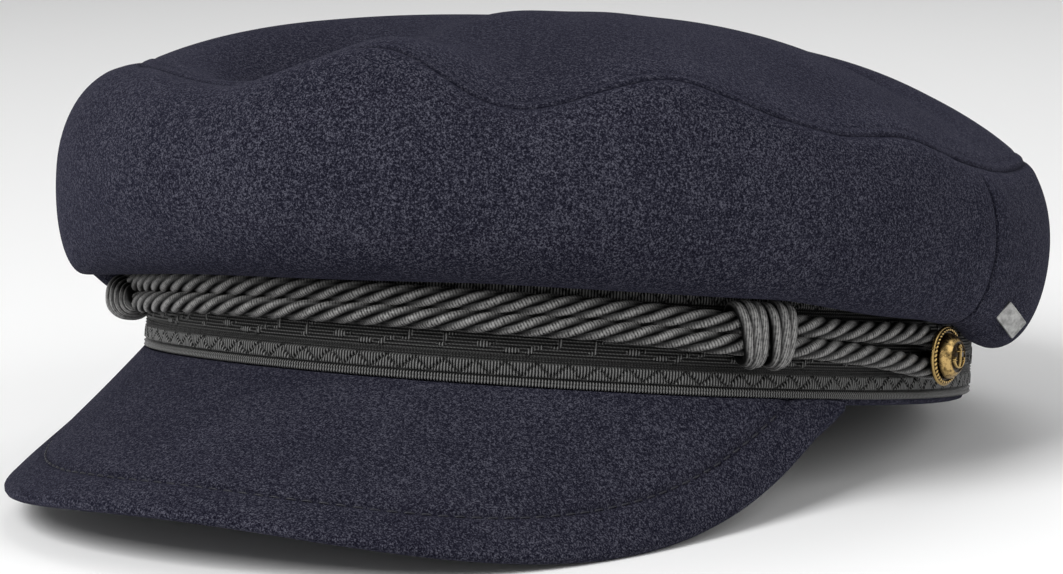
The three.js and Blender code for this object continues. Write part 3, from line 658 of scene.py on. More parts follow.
# Painted shade: the cloth is drawn darker along the seams and beside the welt, where their grooves are
# shaded, and a little darker over the flat top.
SEAM_PAINTED_SHADE = {"top": 0.6, "welt": 0.3, "side": 0.65, "width": 0.7}
TOP_PAINTED_SHADE = 0.3
seam_shade = SEAM_PAINTED_SHADE["top"] * bell(past_seam, SEAM_PAINTED_SHADE["width"])
seam_shade += SEAM_PAINTED_SHADE["welt"] * bell(past_seam - WELT["second"][1], SEAM_PAINTED_SHADE["width"])
seam_shade = np.maximum(seam_shade, upright * SEAM_PAINTED_SHADE["side"] * bell(from_side_seam, SEAM_PAINTED_SHADE["width"]))
seam_shade = np.maximum(seam_shade, TOP_PAINTED_SHADE * up_the_crown(0 * SIDE_RUNS, ease(TOP_INWARD, 0.0, 0.2)))
seam_note = np.repeat(seam_shade[..., None], 3, 2)

front_part = np.arange(len(front_columns))
back_part = (len(front_columns) - 1 + np.arange(len(back_columns))) % len(crown_columns)
for side_name, columns in (("crown_front", front_part), ("crown_back", back_part)):
    outer = crown_outer[: SEAM_LINE + 1][:, columns]
    inner = crown_inner[: SEAM_LINE + 1][:, columns]
    loop = np.concatenate([outer, inner[::-1]])
    shade = seam_note[: SEAM_LINE + 1][:, columns]
    note = {"seam": np.concatenate([shade, 0 * shade])}
    piece(side_name + "_panel", [(loop, True, False, note)], wool, [side_name])
top_outer, top_inner = crown_outer[SEAM_LINE:], crown_inner[SEAM_LINE:]
top_shell = np.concatenate([top_inner[::-1], top_outer])
top_note = {"seam": np.concatenate([0 * seam_note[SEAM_LINE:], seam_note[SEAM_LINE:]])}
piece("crown_top_panel", [(top_shell, False, True, top_note)], wool, ["crown_top"])

# Lining
# A loose black satin lining inside the crown, sewn to the headband's upper edge and caught at
# the middle of the top, with small gathers where it is taken in.
LINING = {"gap": 1.2, "thick": 0.3, "gathers": 1.1, "stand": 0.6, "first_row": 28}
LINING_MOUTH = {"out": -4.2, "up": 26.0, "rise": 3.0}
# Waves round the lining: length, size and start.
GATHERS = [(11.0, 0.5, 0.0), (7.3, 0.35, 1.0), (23.0, 0.5, 2.0)]


def satin_lining(s):
    crease = s.grain(90, 4.0, 0.6)
    fine = s.grain(2500, 1.0)
    # Painted shade: the lining is drawn darker in the hollows of its creases and lighter on their crests,
    # with the same noise as their bumps.
    colour = crease.within(0.35, 0.7).blend((0.004, 0.004, 0.006, 1), (0.011, 0.011, 0.016, 1))
    return {"Base Color": colour, "Normal": s.bump(crease * 0.8 + fine * 0.05, 0.5, 1.5)}


LINING_SHADER = {"Roughness": 0.38, "Specular IOR Level": 0.5, "Sheen Weight": 0.1}
satin = finish("satin_lining", satin_lining, LINING_SHADER)
lining_side_rows = np.arange(LINING["first_row"], SEAM_LINE, 3)
lining_rows = np.concatenate([lining_side_rows, np.arange(SEAM_LINE, len(crown_grid), 2)])
lining_columns = np.arange(0, len(crown_columns), 2)
lining_base = (crown_grid - crown_normals * (CROWN_CLOTH + LINING["gap"]))[lining_rows][:, lining_columns]
mouth = place(crown_columns[lining_columns], LINING_MOUTH["out"], LINING_MOUTH["up"])
lining_base = np.concatenate([mouth[None], mouth[None] + [0, 0, LINING_MOUTH["rise"]], lining_base])
gather_share = np.cos(np.pi / 2 * np.linspace(0, 1, len(lining_base)))[:, None]
gather_depth = LINING["gathers"] * gather_share * waves(column_walk[lining_columns], GATHERS)
lining_normals = slopes(lining_base, True)
lining_face = lining_base - lining_normals * np.maximum(gather_depth + LINING["stand"], 0)[..., None]
lining_inner = lining_face - lining_normals * LINING["thick"]
lining_shell = np.concatenate([lining_inner[::-1], lining_face])
piece("crown_lining", [(lining_shell, False, True, {})], satin)

# Peak
# A short peak of the same cloth over a thin stiffener, sewn under the front of the headband,
# with a row of stitches all along its edge.
PEAK_ARC = 120.0
PEAK_DEPTH = 57.0
PEAK_THICK = 2.6
PEAK_TAPER = {"start": 2.85, "right": 1.55, "left": 1.15}
PEAK_SPREAD = 0.4
PEAK_DROP = {"front": 27.2, "right": 66.0, "left": 77.0}
PEAK_ROOT = {"up": -0.3, "sunk": -1.0, "bend": 12.0}
PEAK_EDGE = {"rounded": 1.3, "thinner": 0.65}
# Soft swellings on both sides of the stitches: size, distance from the edge and width.
PEAK_SWELLINGS = [(0.25, 5.5, 3.5), (0.15, 15.0, 4.0)]
PEAK_SLACK = {"size": 0.12, "x": 13, "y": 11}
STITCH_LINE = {"from_edge": 10.5, "groove": 0.75, "width": 0.85, "dark": 0.45}
STITCH = {"length": 2.3, "pitch": 3.3, "thread": 0.24, "up": 0.16, "sunk": 0.5}
walk_angles = np.linspace(0, 180, 361)
walk_distances = distance_round(walk_angles)


def angle_after(distance):
    """The angle at a distance along the trim's face from its front."""
    return np.sign(distance) * np.interp(np.abs(distance), walk_distances, walk_angles)


def peak_face(across, depth):
    """The peak's upper face: across from -1 to 1 along the headband, and depth from its root to its edge."""
    angle = angle_after(across * PEAK_ARC)
    root = place(angle, 0, PEAK_ROOT["up"])
    roundness = np.where(across < 0, PEAK_TAPER["right"], PEAK_TAPER["left"])
    taper = np.maximum(1 - np.abs(across) ** PEAK_TAPER["start"], 0) ** roundness
    far = PEAK_DEPTH * taper * depth
    normal = outward(angle)
    heading = np.arctan2(normal[..., 0], -normal[..., 1]) * PEAK_SPREAD
    end = np.where(across < 0, PEAK_DROP["right"], PEAK_DROP["left"])
    drop = np.radians(PEAK_DROP["front"] + (end - PEAK_DROP["front"]) * across**2)
    level = far * np.cos(drop)
    return root + np.stack([level * np.sin(heading), -level * np.cos(heading), -far * np.sin(drop)], -1)


# The peak's columns crowd towards its tips, and its rows towards its edge.
TIP_CROWDING = 0.96 * math.pi / 2
peak_across = np.sin(np.linspace(-1, 1, 191) * TIP_CROWDING) / math.sin(TIP_CROWDING)
peak_depth = [np.linspace(0, 0.6, 16)[:-1], np.linspace(0.6, 0.96, 26)[:-1], np.linspace(0.96, 1, 5)]
peak_depth = np.concatenate(peak_depth)[:, None]
peak_grid = peak_face(peak_across[None, :], peak_depth)
inner_across = np.clip(peak_across, -0.97, 0.97)[None, :]
peak_along = peak_face(inner_across + 0.01, peak_depth) - peak_face(inner_across - 0.01, peak_depth)
peak_out = peak_face(inner_across, 1 + 0 * peak_depth) - peak_face(inner_across, 0 * peak_depth)
from_root = np.linalg.norm(peak_grid - peak_grid[:1], axis=-1)
peak_square = np.minimum(from_root / PEAK_ROOT["bend"], 1)[..., None]
peak_normals = unit((1 - peak_square) * [0, 0, 1] + peak_square * unit(np.cross(peak_out, peak_along)))
to_edge = np.min(np.linalg.norm(peak_grid[:, :, None] - peak_grid[-1], axis=-1), -1)
peak_relief = -STITCH_LINE["groove"] * bell(to_edge - STITCH_LINE["from_edge"], STITCH_LINE["width"])
peak_relief += sum(size * bell(to_edge - at, width) for size, at, width in PEAK_SWELLINGS)
peak_slack = np.sin(peak_grid[..., 0] / PEAK_SLACK["x"]) * np.sin(peak_grid[..., 1] / PEAK_SLACK["y"])
peak_relief += PEAK_SLACK["size"] * peak_slack
peak_relief *= ease(to_edge, 0, 2)
rounding = 1 - np.sqrt(1 - (1 - np.clip(to_edge / PEAK_EDGE["rounded"], 0, 1)) ** 2)
peak_middle = peak_grid - peak_normals * PEAK_THICK / 2
half_thick = PEAK_THICK / 2 * (1 - PEAK_EDGE["thinner"] * rounding)
peak_top = peak_middle + peak_normals * (half_thick + peak_relief)[..., None]
peak_under = peak_middle - peak_normals * (half_thick + 0.6 * np.minimum(peak_relief, 0))[..., None]
root_angles = angle_after(peak_across * PEAK_ARC)
root_top = place(root_angles, PEAK_ROOT["sunk"], PEAK_ROOT["up"])[None]
root_under = place(root_angles, PEAK_ROOT["sunk"], PEAK_ROOT["up"] - PEAK_THICK)[None]
peak_loop = np.concatenate([root_top, peak_top, peak_under[::-1], root_under])[::-1]
# Painted shade: the cloth is drawn darker along the stitch line's groove.
peak_shade = STITCH_LINE["dark"] * bell(to_edge - STITCH_LINE["from_edge"], SEAM_PAINTED_SHADE["width"])
peak_shade = np.repeat(peak_shade[..., None], 3, 2)
peak_shade = np.concatenate([0 * peak_shade[:1], peak_shade, 0 * peak_shade, 0 * peak_shade[:1]])[::-1]
piece("peak_cloth", [(peak_loop, True, False, {"seam": peak_shade})], wool, ["peak"])


def yarn(centre, facing, radius, sides):
    """A round strand: centre points, a direction that its first side faces at each, and its radius."""
    ahead = unit(np.gradient(centre, axis=0))
    facing = unit(facing - ahead * np.sum(facing * ahead, -1, keepdims=True))
    across = np.cross(facing, ahead)
    turn = np.linspace(0, 2 * math.pi, sides, endpoint=False)[:, None, None]
    radius = np.broadcast_to(radius, len(centre))[None, :, None]
    return centre[None] + radius * (np.cos(turn) * facing[None] + np.sin(turn) * across[None])


def evenly(points, spacing):
    """The same line with its points a given distance apart."""
    far = np.concatenate([[0], np.cumsum(np.linalg.norm(np.diff(points, axis=0), axis=1))])
    at = np.linspace(0, far[-1], max(2, round(far[-1] / spacing) + 1))
    return np.stack([np.interp(at, far, points[:, k]) for k in range(3)], -1)


def stitches(line, facing):
    """Separate stitches along a line, each a short strand with its ends sunk into the cloth."""
    far = np.concatenate([[0], np.cumsum(np.linalg.norm(np.diff(line, axis=0), axis=1))])
    parts = []
    for start in np.arange(1, far[-1] - STITCH["pitch"], STITCH["pitch"]):
        t = np.linspace(0, 1, 7)
        at = start + t * STITCH["length"]
        centre = np.stack([np.interp(at, far, line[:, k]) for k in range(3)], -1)
        up = unit(np.stack([np.interp(at, far, facing[:, k]) for k in range(3)], -1))
        towards_end = (2 * t - 1) ** 4
        centre = centre + up * (STITCH["up"] - STITCH["sunk"] * towards_end[:, None])
        strand = yarn(centre, up, STITCH["thread"] * (1 - 0.3 * towards_end), 7)
        parts.append((strand, True, False, {}))
    return parts


def sewing_thread(s):
    twist = s.grain(4000, 1.0)
    colour = twist.blend((0.004, 0.004, 0.007, 1), (0.02, 0.02, 0.03, 1))
    return {"Base Color": colour, "Normal": s.bump(twist, 0.4, 0.1)}


thread = finish("sewing_thread", sewing_thread, {"Roughness": 0.55, "Specular IOR Level": 0.4})
seam_line, seam_facing = [], []
for column in range(8, len(peak_across) - 8):
    if to_edge[0, column] > STITCH_LINE["from_edge"]:
        row = np.interp(-STITCH_LINE["from_edge"], -to_edge[:, column], np.arange(len(peak_depth)))
        low, share = int(row), row - int(row)
        high = min(low + 1, len(peak_depth) - 1)
        seam_line.append(peak_top[low, column] * (1 - share) + peak_top[high, column] * share)
        seam_facing.append(peak_normals[low, column])
piece("peak_stitches", stitches(np.array(seam_line), np.array(seam_facing)), thread)

# Chin cord
# One loop of charcoal satin cord, twisted of four plies, each wrapped in fine silky thread. It
# lies in two strands round the front and turns round the shank of the button at each side.
CORD = {"radius": 2.32, "ply": 1.1, "plies": 4, "lay": 22.0, "spacing": 0.8, "sides": 12}
CORD_SECTIONS = np.array([
    # angle, upper, lower, out
    (-90.5, 12.25, 6.15, 2.5),
    (-84.5, 13.6, 7, 2.5),
    (-74, 13.2, 8.4, 2.5),
    (-57, 13.2, 8.9, 2.6),
    (-50, 13.3, 9, 4.2),
    (-45.5, 13.5, 9.2, 4.2),
    (-39, 14.2, 9.9, 2.5),
    (-28, 15.1, 10.9, 2.5),
    (-15, 15.9, 11.7, 2.5),
    (12, 16.6, 12.4, 2.5),
    (34, 16.5, 12.3, 2.5),
    (44.5, 15.8, 11.6, 2.6),
    (51, 15.2, 10.9, 4.6),
    (62, 15, 10.7, 4.6),
    (68.5, 14.4, 10, 2.6),
    (75.5, 14.1, 9, 2.5),
    (84.5, 14, 7.2, 2.5),
    (90.5, 12.25, 6.15, 2.5),
], float)
BUTTON_ANGLE = 88.1


def cord_turn(side):
    """The cord's turn round a button's shank, from its upper strand to its lower one on the
    wearer's left, and back up on the right."""
    upper, lower, out = read_table(CORD_SECTIONS, np.array([side * BUTTON_ANGLE]), False)[0]
    middle = place(side * BUTTON_ANGLE, out, (upper + lower) / 2)
    facing = np.append(outward(np.array(side * BUTTON_ANGLE)), 0)
    along = np.cross([0, 0, side], facing)
    a = np.radians(side * np.linspace(80, -80, 17))[:, None]
    return middle + (upper - lower) / 2 * (along * np.cos(a) + np.array([0, 0, 1]) * np.sin(a))


strand_angles = np.linspace(-BUTTON_ANGLE, BUTTON_ANGLE, 361)
strand = read_table(CORD_SECTIONS, strand_angles, False)
upper_strand = place(strand_angles, strand[:, 2], strand[:, 0])
lower_strand = place(strand_angles, strand[:, 2], strand[:, 1])[::-1]
cord_line = np.concatenate([upper_strand, cord_turn(1), lower_strand, cord_turn(-1), upper_strand[:1]])
cord_line = evenly(cord_line, CORD["spacing"])[:-1]
for _ in range(6):
    cord_line = (np.roll(cord_line, 1, 0) + 2 * cord_line + np.roll(cord_line, -1, 0)) / 4
cord_ahead = unit(np.roll(cord_line, -1, 0) - np.roll(cord_line, 1, 0))
cord_angle = np.arctan2(cord_line[:, 0] / OVAL["half_width"], -cord_line[:, 1] / OVAL["half_length"])
cord_out = np.concatenate([outward(np.degrees(cord_angle)), np.zeros((len(cord_line), 1))], 1)
cord_out = unit(cord_out - cord_ahead * np.sum(cord_out * cord_ahead, -1, keepdims=True))
cord_side = np.cross(cord_out, cord_ahead)
cord_far = np.arange(len(cord_line)) * CORD["spacing"]
cord_laps = round(cord_far[-1] / CORD["lay"] * CORD["plies"]) / CORD["plies"]


def silky(s):
    """Satin yarn: fine threads wound across the ply, with a painted highlight along its crest and painted
    shade towards the hollows between plies.
    """
    along, crest, side = (s.note("ply", k) for k in range(3))
    wound = (along + side * 0.22 + s.grain(500) * 0.2).wave(0.62)
    strands = s.grain(1500, 2.0)
    # Painted highlight on each ply's crest, falling to painted shade where the plies meet.
    lit = crest.within(0.25, 1)
    light = (wound * 0.3 + strands * 0.7).within(0.25, 0.68) * lit * lit
    colour = light.blend((0.0012, 0.0012, 0.0012, 1), (0.275, 0.271, 0.266, 1))
    height = wound * 0.35 + strands * 0.65
    return {"Base Color": colour, "Roughness": 0.45 - light * 0.15, "Normal": s.bump(height, 0.55, 0.1)}


satin_yarn = finish("satin_yarn", silky, {"Specular IOR Level": 0.22})


def ply_note(along, sides, lengthwise):
    """Where each point is on its ply. Lengthwise is how far the fine threads run along the ply
    and not across it."""
    turn = np.linspace(0, 2 * math.pi, sides, endpoint=False)[:, None] + 0 * along[None, :]
    return {"ply": np.stack([along + lengthwise * np.sin(turn), np.cos(turn), np.sin(turn)], -1)}


cord_parts = []
for ply in range(CORD["plies"]):
    a = 2 * math.pi * (cord_laps * np.arange(len(cord_line)) / len(cord_line) + ply / CORD["plies"])[:, None]
    spoke = cord_out * np.cos(a) + cord_side * np.sin(a)
    centre = cord_line + spoke * (CORD["radius"] - CORD["ply"])
    ahead = unit(np.roll(centre, -1, 0) - np.roll(centre, 1, 0))
    across = np.cross(spoke, ahead)
    turn = np.linspace(0, 2 * math.pi, CORD["sides"], endpoint=False)[:, None, None]
    ring = centre[None] + CORD["ply"] * (np.cos(turn) * spoke[None] + np.sin(turn) * across[None])
    cord_parts.append((ring, True, True, ply_note(cord_far * 1.2, CORD["sides"], 0)))
piece("chin_cord_plies", cord_parts, satin_yarn, ["chin_cord"])

# Knots
# At each side the same satin cord is wound round its two strands in a knot that slips along
# them. The left one shows as two wraps side by side, three plies each, and the right one as a ball.

# Each ply of a knot: where it lies along the strands at the top and bottom of its front, and
# how much it stands off from the rest.
TWO_WRAPS = [
    # top, bottom, off
    (-6.7, -3.6, 0.0),
    (-4.7, -2.6, 0.6),
    (-2.5, -1.6, 0.2),
    (0.1, 1.9, 0.0),
    (2.2, 2.9, 0.7),
    (4.6, 3.9, 0.2),
]
BALL = [
    # top, bottom, off
    (-5.5, -2.9, -1.7),
    (-3.6, -0.9, -0.6),
    (-1.7, 1.1, 0.0),
    (0.2, 3.1, 0.0),
    (2.1, 4.9, -0.5),
    (3.9, 6.2, -1.3),
    (5.0, 7.2, -2.2),
    (5.8, 7.8, -2.9),
]
KNOTS = {
    "knot_right": {"angle": -44.5, "plies": BALL, "clear_out": 1.6, "clear_up": -0.7, "lift": -0.8},
    "knot_left": {"angle": 56.5, "plies": TWO_WRAPS, "clear_out": 0.95, "clear_up": 0.95, "lift": 0.0},
}
KNOT_PLY = {"radius": 1.25, "sides": 14, "points": 66, "spacing": 0.5, "thinner": 0.45, "off_up": 0.7}
KNOT_TURNS = {"start": -0.45, "end": 0.62}
KNOT_SQUARENESS = 0.8


def squared(wave, power):
    """A wave from -1 to 1 with its crests flattened."""
    return np.sign(wave) * np.abs(wave) ** power


def knot_ply(knot, top, bottom, off):
    """One ply wound round both strands. At 0 turns it is in front, and it goes down and round the back."""
    upper, lower, out = read_table(CORD_SECTIONS, np.array([knot["angle"]]), False)[0]
    half_out = CORD["radius"] + knot["clear_out"] + off
    half_up = (upper - lower) / 2 + CORD["radius"] + knot["clear_up"] + off * KNOT_PLY["off_up"]
    a = 2 * math.pi * np.linspace(KNOT_TURNS["start"], KNOT_TURNS["end"], KNOT_PLY["points"])
    depth = out + half_out * squared(np.cos(a), KNOT_SQUARENESS)
    depth = np.maximum(depth, KNOT_PLY["radius"] + 0.1)
    height = (upper + lower) / 2 + knot["lift"] - half_up * squared(np.sin(a), KNOT_SQUARENESS)
    along = top + (bottom - top) * (0.5 + 0.5 * np.sin(np.clip(a, -math.pi / 2, math.pi / 2)))
    start = np.interp(abs(knot["angle"]), walk_angles, walk_distances) * np.sign(knot["angle"])
    centre = evenly(place(angle_after(start + along), depth, height), KNOT_PLY["spacing"])
    straight_out = np.append(outward(np.array(knot["angle"])), 0)
    facing = unit(centre - centre.mean(0)) + 0.2 * straight_out
    swell = 1 - KNOT_PLY["thinner"] * np.linspace(-1, 1, len(centre)) ** 6
    far = np.arange(len(centre)) * KNOT_PLY["spacing"]
    ring = yarn(centre, facing, KNOT_PLY["radius"] * swell, KNOT_PLY["sides"])
    return ring, True, False, ply_note(far * 0.2, KNOT_PLY["sides"], 1.3)


for knot_name, knot in KNOTS.items():
    knot_parts = [knot_ply(knot, *row) for row in knot["plies"]]
    piece(knot_name + "_plies", knot_parts, satin_yarn, [knot_name])

# Buttons
# A shank button of antique brass at each side holds the cord: a back plate, a border like a
# twisted rope, a smooth raised ring, and a darker middle with a raised anchor.
BUTTON = {"up": 9.6, "stand_off": 5.0, "yaw": 2.0, "sides": 96}
BUTTON_BODY = [
    # radius, height
    (0.05, -4.6),
    (0.7, -4.6),
    (0.7, -0.2),
    (1.0, 0.0),
    (5.2, 0.0),
    (5.75, 0.12),
    (6.25, 0.4),
    (6.4, 0.72),
    (6.36, 1.0),
    (6.1, 1.14),
    (5.9, 1.16),
    (5.2, 1.18),
    (4.95, 1.22),
]
ROPE = {"radius": 5.58, "height": 1.22, "thick": 0.42, "strands": 40}
DOME = {"radius": 4.92, "rise": 3.3, "foot": 1.2, "ring": 3.2, "sunk": 0.38, "fullness": 2.6}
ANCHOR_RELIEF = 0.5


def bar(x, y, x1, y1, x2, y2, half):
    """How far places are inside a bar with round ends, from a point to another."""
    dx, dy = x2 - x1, y2 - y1
    t = np.clip(((x - x1) * dx + (y - y1) * dy) / (dx * dx + dy * dy), 0, 1)
    return half - np.hypot(x - x1 - dx * t, y - y1 - dy * t)


def anchor_depth(x, y):
    """How far places are inside the anchor's outline, below zero outside it."""
    shaft = bar(x, y, 0, -2.2, 0, 1.75, 0.27)
    stock = bar(x, y, -1.25, 1.2, 1.25, 1.2, 0.24)
    eye = 0.22 - np.abs(np.hypot(x, y - 2.2) - 0.42)
    arm_angle = np.degrees(np.arctan2(x, -(y - 0.15)))
    arms = np.where(np.abs(arm_angle) < 66, 0.3 - np.abs(np.hypot(x, y - 0.15) - 2.42), -1)
    flukes = [bar(x, y, side * 2.45, -0.95, side * 2.0, -0.15, 0.24) for side in (-1, 1)]
    barbs = [bar(x, y, side * 1.6, -0.75, side * 2.5, -0.5, 0.22) for side in (-1, 1)]
    return np.maximum.reduce([shaft, stock, eye, arms, *flukes, *barbs])


def button_frame(side):
    """A button's middle and its three directions, at the side -1 or 1."""
    out = np.append(outward(np.array(side * (BUTTON_ANGLE - BUTTON["yaw"]))), 0)
    up = np.array([0, 0, 1.0])
    start = place(side * BUTTON_ANGLE, BUTTON["stand_off"], BUTTON["up"])
    return start, np.cross(up, out), up, out


def button_grid(radius, angle, height, side):
    """Points round a button's middle line, as they are on the cap."""
    start, across, up, out = button_frame(side)
    x, y = radius * np.cos(angle), radius * np.sin(angle)
    return start + x[..., None] * across + y[..., None] * up + height[..., None] * out


def antique_brass(s):
    """Brass, dark where polish never reaches and rubbed bright on what stands proud; the dark hollows are
    partly painted shade and the bright raised parts partly painted highlight.
    """
    lift, ring = s.note("wear_and_shade", 0), s.note("wear_and_shade", 1)
    stain = s.grain(900, 3.0)
    # Painted shade and highlight together with real tarnish and rubbing: hollows darker, raised parts
    # brighter.
    bright = (lift + (stain - 0.5) * 0.5).within(0.1, 0.9)
    colour = bright.blend((0.02, 0.012, 0.005, 1), (0.52, 0.36, 0.14, 1))
    colour = (ring * stain.within(0.3, 0.55)).blend(colour, (0.56, 0.38, 0.15, 1))
    rough = 0.2 - bright * 0.06 + stain * 0.14
    height = stain + s.grain(3500) * 0.3
    return {"Base Color": colour, "Roughness": rough, "Normal": s.bump(height, 0.2, 0.08)}


brass = finish("antique_brass", antique_brass, {"Metallic": 1.0})
around = np.linspace(0, 2 * math.pi, BUTTON["sides"], endpoint=False)
for button_name, side in (("button_right", -1), ("button_left", 1)):
    profile = np.array(BUTTON_BODY, float)
    radius, height = (profile[:, k][:, None] + 0 * around for k in (0, 1))
    body = button_grid(radius, around + 0 * radius, height, side)
    # Painted shade and highlight with real rubbing: the outer rim, the rope's crests and the anchor are
    # drawn brighter than the hollows.
    body_wear_and_shade = np.stack([ease(radius, 5.2, 6.3) * 0.7, 0 * radius, 0 * radius], -1)
    parts = [(body, False, True, {"wear_and_shade": body_wear_and_shade})]
    rope_u = np.linspace(0, 2 * math.pi, 320, endpoint=False)[None, :]
    rope_v = np.linspace(0, 2 * math.pi, 12, endpoint=False)[:, None]
    strand_height = np.abs(np.cos((ROPE["strands"] * rope_u + rope_v) / 2))
    thick = ROPE["thick"] * (0.72 + 0.28 * strand_height)
    rope_radius = ROPE["radius"] + thick * np.cos(rope_v)
    rope_height = ROPE["height"] + thick * np.sin(rope_v)
    rope = button_grid(rope_radius, rope_u + 0 * rope_v, rope_height, side)
    rope_wear_and_shade = np.stack([0.95 * ease(strand_height, 0.3, 0.9), 0 * thick, 0 * thick], -1)
    parts.append((rope, True, True, {"wear_and_shade": rope_wear_and_shade}))
    share = np.linspace(1, 0.004, 72)[:, None]
    dome_r = DOME["radius"] * share
    theta = np.linspace(0, 2 * math.pi, 168, endpoint=False)[None, :]
    dome_h = DOME["foot"] + DOME["rise"] * np.sqrt(np.maximum(1 - share ** DOME["fullness"], 0))
    dome_h = dome_h - DOME["sunk"] * (1 - ease(dome_r, DOME["ring"] - 0.3, DOME["ring"] + 0.1))
    inside = anchor_depth(dome_r * np.cos(theta), dome_r * np.sin(theta))
    relief_share = ease(inside, -0.06, 0.24) * (1 - ease(dome_r, DOME["ring"] - 0.25, DOME["ring"]))
    dome = button_grid(dome_r + 0 * theta, theta + 0 * dome_r, dome_h + ANCHOR_RELIEF * relief_share, side)
    smooth_ring = ease(dome_r, DOME["ring"], DOME["ring"] + 0.25) * (1 - ease(dome_r, 4.6, 4.9)) + 0 * theta
    dome_wear_and_shade = np.stack([np.maximum(relief_share * 0.9, 0.08), smooth_ring, 0 * smooth_ring], -1)
    parts.append((dome, False, True, {"wear_and_shade": dome_wear_and_shade}))
    piece(button_name + "_brass", parts, brass, [button_name])

# Side plate
# A small bare plate of satin silver metal behind the left side seam, pressed with a low rim,
# slightly bowed and held by a stitch at each end.
PLATE = {"width": 10.2, "height": 4.7, "bow": 0.2, "turn": -11.0, "shift": (0.95, -1.5, 0.1)}
PLATE_CORNERS = 0.1
PLATE_RINGS = [
    # size, height, from the middle of its back over its edge to the middle of its face
    (0.02, -0.4),
    (0.9, -0.4),
    (0.985, -0.38),
    (1.0, -0.2),
    (1.0, 0.2),
    (0.985, 0.37),
    (0.95, 0.4),
    (0.9, 0.4),
    (0.84, 0.3),
    (0.8, 0.28),
    (0.5, 0.28),
    (0.02, 0.28),
]


def satin_silver(s):
    rub = s.grain(600, 3.0)
    fine = s.grain(5000, 1.0)
    colour = rub.within(0.35, 0.7).blend((0.22, 0.22, 0.217, 1), (0.48, 0.48, 0.47, 1))
    relief = s.bump(fine + rub * 0.5, 0.25, 0.05)
    return {"Base Color": colour, "Roughness": 0.34 + rub * 0.14, "Normal": relief}


silver = finish("satin_silver", satin_silver, {"Metallic": 1.0})
# The solid's corners give the plate's middle and its directions: its longest first.
plate_points = np.array([v.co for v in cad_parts["side_plate"].data.vertices])
plate_middle = plate_points.mean(0)
plate_corners = np.unique(np.round(plate_points, 6), axis=0) - plate_middle
plate_along, _, plate_out = np.linalg.svd(plate_corners, full_matrices=False)[2]
plate_out = plate_out * np.sign(plate_out[0])
plate_up = np.cross(plate_out, plate_along)
loop_angle = np.linspace(0, 2 * math.pi, 96, endpoint=False)
loop_x, loop_y = (squared(wave(loop_angle), PLATE_CORNERS) for wave in (np.cos, np.sin))
half_width, half_height = PLATE["width"] / 2, PLATE["height"] / 2
plate_rings = []
for size, height in PLATE_RINGS:
    rim_width = half_width - (1 - size) * half_height
    x = loop_x * (rim_width if size > 0.5 else half_width * size)
    y = loop_y * half_height * size
    z = height - PLATE["bow"] * (x / half_width) ** 2
    plate_rings.append(x[:, None] * plate_along + y[:, None] * plate_up + z[:, None] * plate_out)
swing = Matrix.Rotation(math.radians(PLATE["turn"]), 3, "Z")
plate_world = np.array(plate_rings) * MM @ np.array(swing).T + plate_middle + np.array(PLATE["shift"]) * MM


def unrested(points):
    """Points of the cap at rest in metres, back in its own frame in millimetres."""
    return (points / MM - rest_place) @ own_axes.T


piece("side_plate_metal", [(unrested(plate_world), False, True, {})], silver, ["side_plate"])

# Stage
# A plain pale floor, soft studio light from the front, the left and behind, and the camera at
# the photograph's viewing angle.
FLOOR_SIZE = 6.0
floor_mesh = bpy.data.meshes.new("floor")
half = FLOOR_SIZE / 2
floor_corners = [(-half, -half, 0), (half, -half, 0), (half, half, 0), (-half, half, 0)]
floor_mesh.from_pydata(floor_corners, [], [(0, 1, 2, 3)])
floor = bpy.data.objects.new("floor", floor_mesh)
bpy.context.scene.collection.objects.link(floor)
PALE_SHADER = {"Base Color": (0.93, 0.93, 0.93, 1), "Roughness": 0.9, "Specular IOR Level": 0.1}
floor_mesh.materials.append(finish("pale_floor", lambda s: {}, PALE_SHADER))

# The light all round, by height from straight down at 0 to straight up at 1.
SKY_LIGHT = ((0.45, (1, 1, 1)), (0.57, (1, 1, 1)), (0.68, (0.4, 0.4, 0.4)), (1, (0.2, 0.2, 0.2)))
world = bpy.data.worlds.new("studio")
world.use_nodes = True
sky = Shade(world.node_tree)
height = sky.node("SeparateXYZ", {0: sky.node("TexCoord", output="Generated")}, output=2)
glow = height.within(-1, 1).ramp(*SKY_LIGHT)
world.node_tree.links.new(glow.socket, world.node_tree.nodes["Background"].inputs["Color"])
bpy.context.scene.world = world
bpy.context.scene.view_settings.view_transform = "Standard"

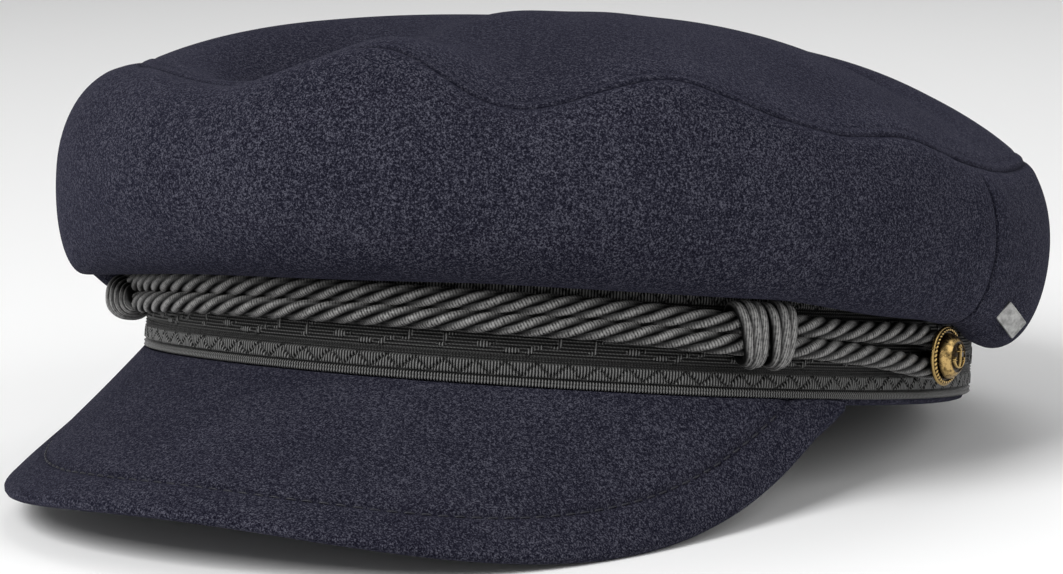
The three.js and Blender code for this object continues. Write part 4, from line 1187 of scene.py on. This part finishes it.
LAMPS = [
    # name, azimuth, elevation, distance, size, watts
    ("key", -4, 38, 1.5, 0.8, 21),
    ("fill", 95, 35, 1.6, 1.2, 6),
    ("back", 200, 55, 1.6, 1.0, 6),
]
for name, azimuth, elevation, distance, size, watts in LAMPS:
    lamp = bpy.data.lights.new(name, "AREA")
    lamp.energy, lamp.size = watts, size
    a, e = math.radians(azimuth), math.radians(elevation)
    back = Vector((math.sin(a) * math.cos(e), -math.cos(a) * math.cos(e), math.sin(e)))
    holder = bpy.data.objects.new(name, lamp)
    holder.location = back * distance + Vector((0, 0, 0.05))
    holder.rotation_mode = "QUATERNION"
    holder.rotation_quaternion = (-back).to_track_quat("-Z", "Y")
    bpy.context.scene.collection.objects.link(holder)

# The focal length is in pixels of the photograph, and the axis is where the band's middle shows.
CAMERA = {"azimuth": 30.46, "elevation": 2.56, "roll": 3.61, "distance": 911.15, "focal": 4073.0}
SENSOR = 36
PICTURE = {"width": 1063, "height": 574, "axis": (570.49, 366.89)}
a, e, r = (math.radians(CAMERA[key]) for key in ("azimuth", "elevation", "roll"))
camera_back = np.array([math.sin(a) * math.cos(e), -math.cos(a) * math.cos(e), math.sin(e)])
level_right = np.array([math.cos(a), math.sin(a), 0])
level_up = np.cross(level_right, -camera_back)
picture_right = level_right * math.cos(r) + level_up * math.sin(r)
picture_up = level_up * math.cos(r) - level_right * math.sin(r)
aim = -camera_back + picture_right * (PICTURE["width"] / 2 - PICTURE["axis"][0]) / CAMERA["focal"]
aim = unit(aim + picture_up * (PICTURE["axis"][1] - PICTURE["height"] / 2) / CAMERA["focal"])
camera_right = unit(picture_right - aim * (picture_right @ aim))
axes = [turned(camera_right), turned(np.cross(camera_right, aim)), turned(-aim)]
camera_data = bpy.data.cameras.new("camera")
camera_data.sensor_width = SENSOR
camera_data.lens = SENSOR * CAMERA["focal"] / PICTURE["width"]
camera = bpy.data.objects.new("camera", camera_data)
bpy.context.scene.collection.objects.link(camera)
spot = rested(camera_back * CAMERA["distance"])
camera.matrix_world = Matrix([[*row, at] for row, at in zip(np.transpose(axes), spot)] + [[0, 0, 0, 1]])
camera_data.clip_start = 0.01
bpy.context.scene.camera = camera
